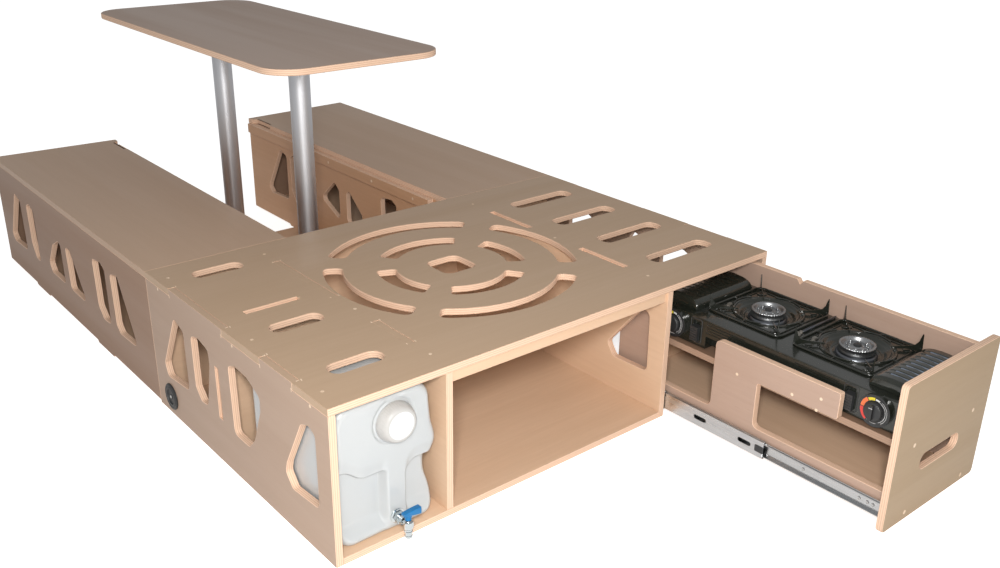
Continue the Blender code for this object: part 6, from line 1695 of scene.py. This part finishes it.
    def build_tap(self) -> None:
        """Ball tap: a hexagon nut, a waisted body and a ringed spout, under a blue lever."""
        low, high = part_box("tap_body")
        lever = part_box("tap_lever")
        x = (low.x + high.x) / 2
        barrel_y, z = low.y + 0.010, high.z - 0.015
        stem = lathe([(0.0, 0.0003), (0.0148, 0.0003), (0.0148, 0.0022), (0.0120, 0.0034), (0.0082, 0.0038),
                      (0.0078, 0.0150), (0.0090, 0.0165), (0.0092, 0.0240), (0.0, 0.0240)], 40)
        corners = np.radians(np.arange(0, 360, 60))
        nut = prism(self.nut_radius * np.column_stack([np.cos(corners), np.sin(corners)]), 0.0042, 0.0120)
        across = joined([stem, nut]).upright_to(Axis.Y, -1).moved((x, high.y, z))
        barrel = lathe([(0.0, 0.0098), (0.0066, 0.0098), (0.0072, 0.0086), (0.0096, 0.0066),
                        (0.0104, 0.0000), (0.0096, -0.0062), (0.0082, -0.0086), (0.0070, -0.0100),
                        (0.0070, -0.0130), (0.0080, -0.0138), (0.0080, -0.0160), (0.0067, -0.0168),
                        (0.0069, -0.0222), (0.0077, -0.0230), (0.0072, -0.0276), (0.0064, -0.0280),
                        (0.0050, -0.0280), (0.0046, -0.0274), (0.0045, -0.0120), (0.0, -0.0118)], 40)
        body = joined([across, barrel.moved((x, barrel_y, z))])
        dress("tap_chromed", body, "canister", CHROME, 34.0, node="tap_body")
        base = lever[0].z
        stalk = lathe([(0.0, 0.0), (0.0062, 0.0), (0.0060, 0.0030), (0.0046, 0.0052), (0.0046, 0.0090),
                       (0.0, 0.0090)], 32)
        tall = lever[1].z - base
        length = lever[1].x - lever[0].x
        t = np.linspace(0.0, 1.0, 24)
        upper = np.column_stack([t * length, tall - 0.0005 - 0.0022 * (1.0 - t) ** 2])
        lower = np.column_stack([t[::-1] * length, tall * 0.42 + 0.0030 * np.cos(t[::-1] * math.pi)])
        paddle = prism(np.vstack([upper, lower]), -0.0058, 0.0058).reordered((0, 2, 1))
        paddle = paddle.moved((lever[0].x - x, 0.0, 0.0))
        neck = prism(rounded_rectangle(0.013, 0.010, 0.003), 0.004, tall * 0.6)
        grip = joined([stalk, paddle, neck]).moved((x, barrel_y, base))
        dress("tap_lever_moulded", grip, "lever", BLUE, 34.0, node="tap_lever", soft=0.0012)

    def build(self) -> None:
        """Dress the canister."""
        self.build_body()
        self.build_cap()
        self.build_tap()
        LOG.info("canister dressed")


# Stage

@dataclass
class Stage:
    """Pale floor, soft studio light and the photograph's camera."""

    camera_place: Point = (-1.34013611, -1.70843576, 1.19126182)
    camera_turn_deg: Point = (66.98011562, -0.77858361, -39.76535519)
    lens_mm: float = 37.12945810
    world_strength: float = 0.40
    paper_glow: float = 0.60
    paper_base: float = 0.10
    lamp_tint: Colour = (1.0, 0.98, 0.95)

    def add_light(self, name: str, place: Point, target: Point, size: float, power: float) -> None:
        """Add a square soft light that faces a point."""
        lamp = bpy.data.lights.new(name, "AREA")
        lamp.shape = "SQUARE"
        lamp.size = size
        lamp.energy = power
        lamp.color = self.lamp_tint
        obj = bpy.data.objects.new(name, lamp)
        obj.location = place
        aim = np.asarray(target, float) - np.asarray(place, float)
        flat = math.hypot(aim[0], aim[1])
        obj.rotation_euler = (math.atan2(flat, -aim[2]), 0.0, math.atan2(aim[1], aim[0]) - math.pi / 2)
        bpy.context.scene.collection.objects.link(obj)

    def build(self) -> None:
        """Make the floor, world, lights and camera."""
        scene = bpy.context.scene
        reach = np.array([(-14.0, -14.0), (14.0, -14.0), (14.0, 14.0), (-14.0, 14.0)])
        mesh = new_mesh("studio_floor", prism(reach, -0.02, -0.0004))
        material, desk, shader = new_material("studio_paper")
        place = desk.node("ShaderNodeTexCoord").outputs["Object"]
        skin = desk.use(EFFECTS["skin"], Place=place, Pebble=300.0, Base=(0.93, 0.93, 0.93),
                        Shade=(0.91, 0.91, 0.91), Rough=0.8)
        desk.feed(shader.inputs["Base Color"], skin.outputs["Colour"])
        settle(shader, Roughness=0.9, Specular_IOR_Level=0.1, Emission_Color=(1.0, 1.0, 1.0, 1.0))
        seen = desk.node("ShaderNodeLightPath").outputs["Is Camera Ray"]
        glow = desk.sum("MULTIPLY_ADD", seen, self.paper_glow, self.paper_base)
        desk.feed(shader.inputs["Emission Strength"], glow)
        mesh.materials.append(material)
        obj = bpy.data.objects.new("studio_floor", mesh)
        scene.collection.objects.link(obj)

        world = bpy.data.worlds.new("studio")
        world.use_nodes = True
        world.node_tree.nodes["Background"].inputs[0].default_value = (1.0, 1.0, 1.0, 1.0)
        world.node_tree.nodes["Background"].inputs[1].default_value = self.world_strength
        scene.world = world
        self.add_light("key", (-1.9, -2.7, 1.8), (-0.1, 0.0, 0.1), 1.1, 12.0)
        self.add_light("fill", (0.2, -6.0, 0.9), (0.1, -0.2, 0.15), 2.0, 30.0)
        self.add_light("near_camera", (-1.36, -1.74, 1.36), (0.10, 0.0, 0.1), 0.30, 44.0)

        camera = bpy.data.cameras.new("photo_camera")
        camera.sensor_width = 36.0
        camera.lens = self.lens_mm
        camera.clip_end = 60.0
        holder = bpy.data.objects.new("photo_camera", camera)
        holder.location = self.camera_place
        holder.rotation_euler = tuple(math.radians(angle) for angle in self.camera_turn_deg)
        scene.collection.objects.link(holder)
        scene.camera = holder
        scene.view_settings.view_transform = "Standard"
        LOG.info("stage set")


def main() -> None:
    """Build every sub-assembly in order and report each."""
    logging.basicConfig(level=logging.INFO, format="%(message)s")
    MainBox().build()
    Bench("left", "left_lid", 1).build()
    Bench("right", "right_lid", -1).build()
    Table().build()
    Drawer().build()
    Stove().build()
    Canister().build()
    Stage().build()


if __name__ == "__main__":
    main()
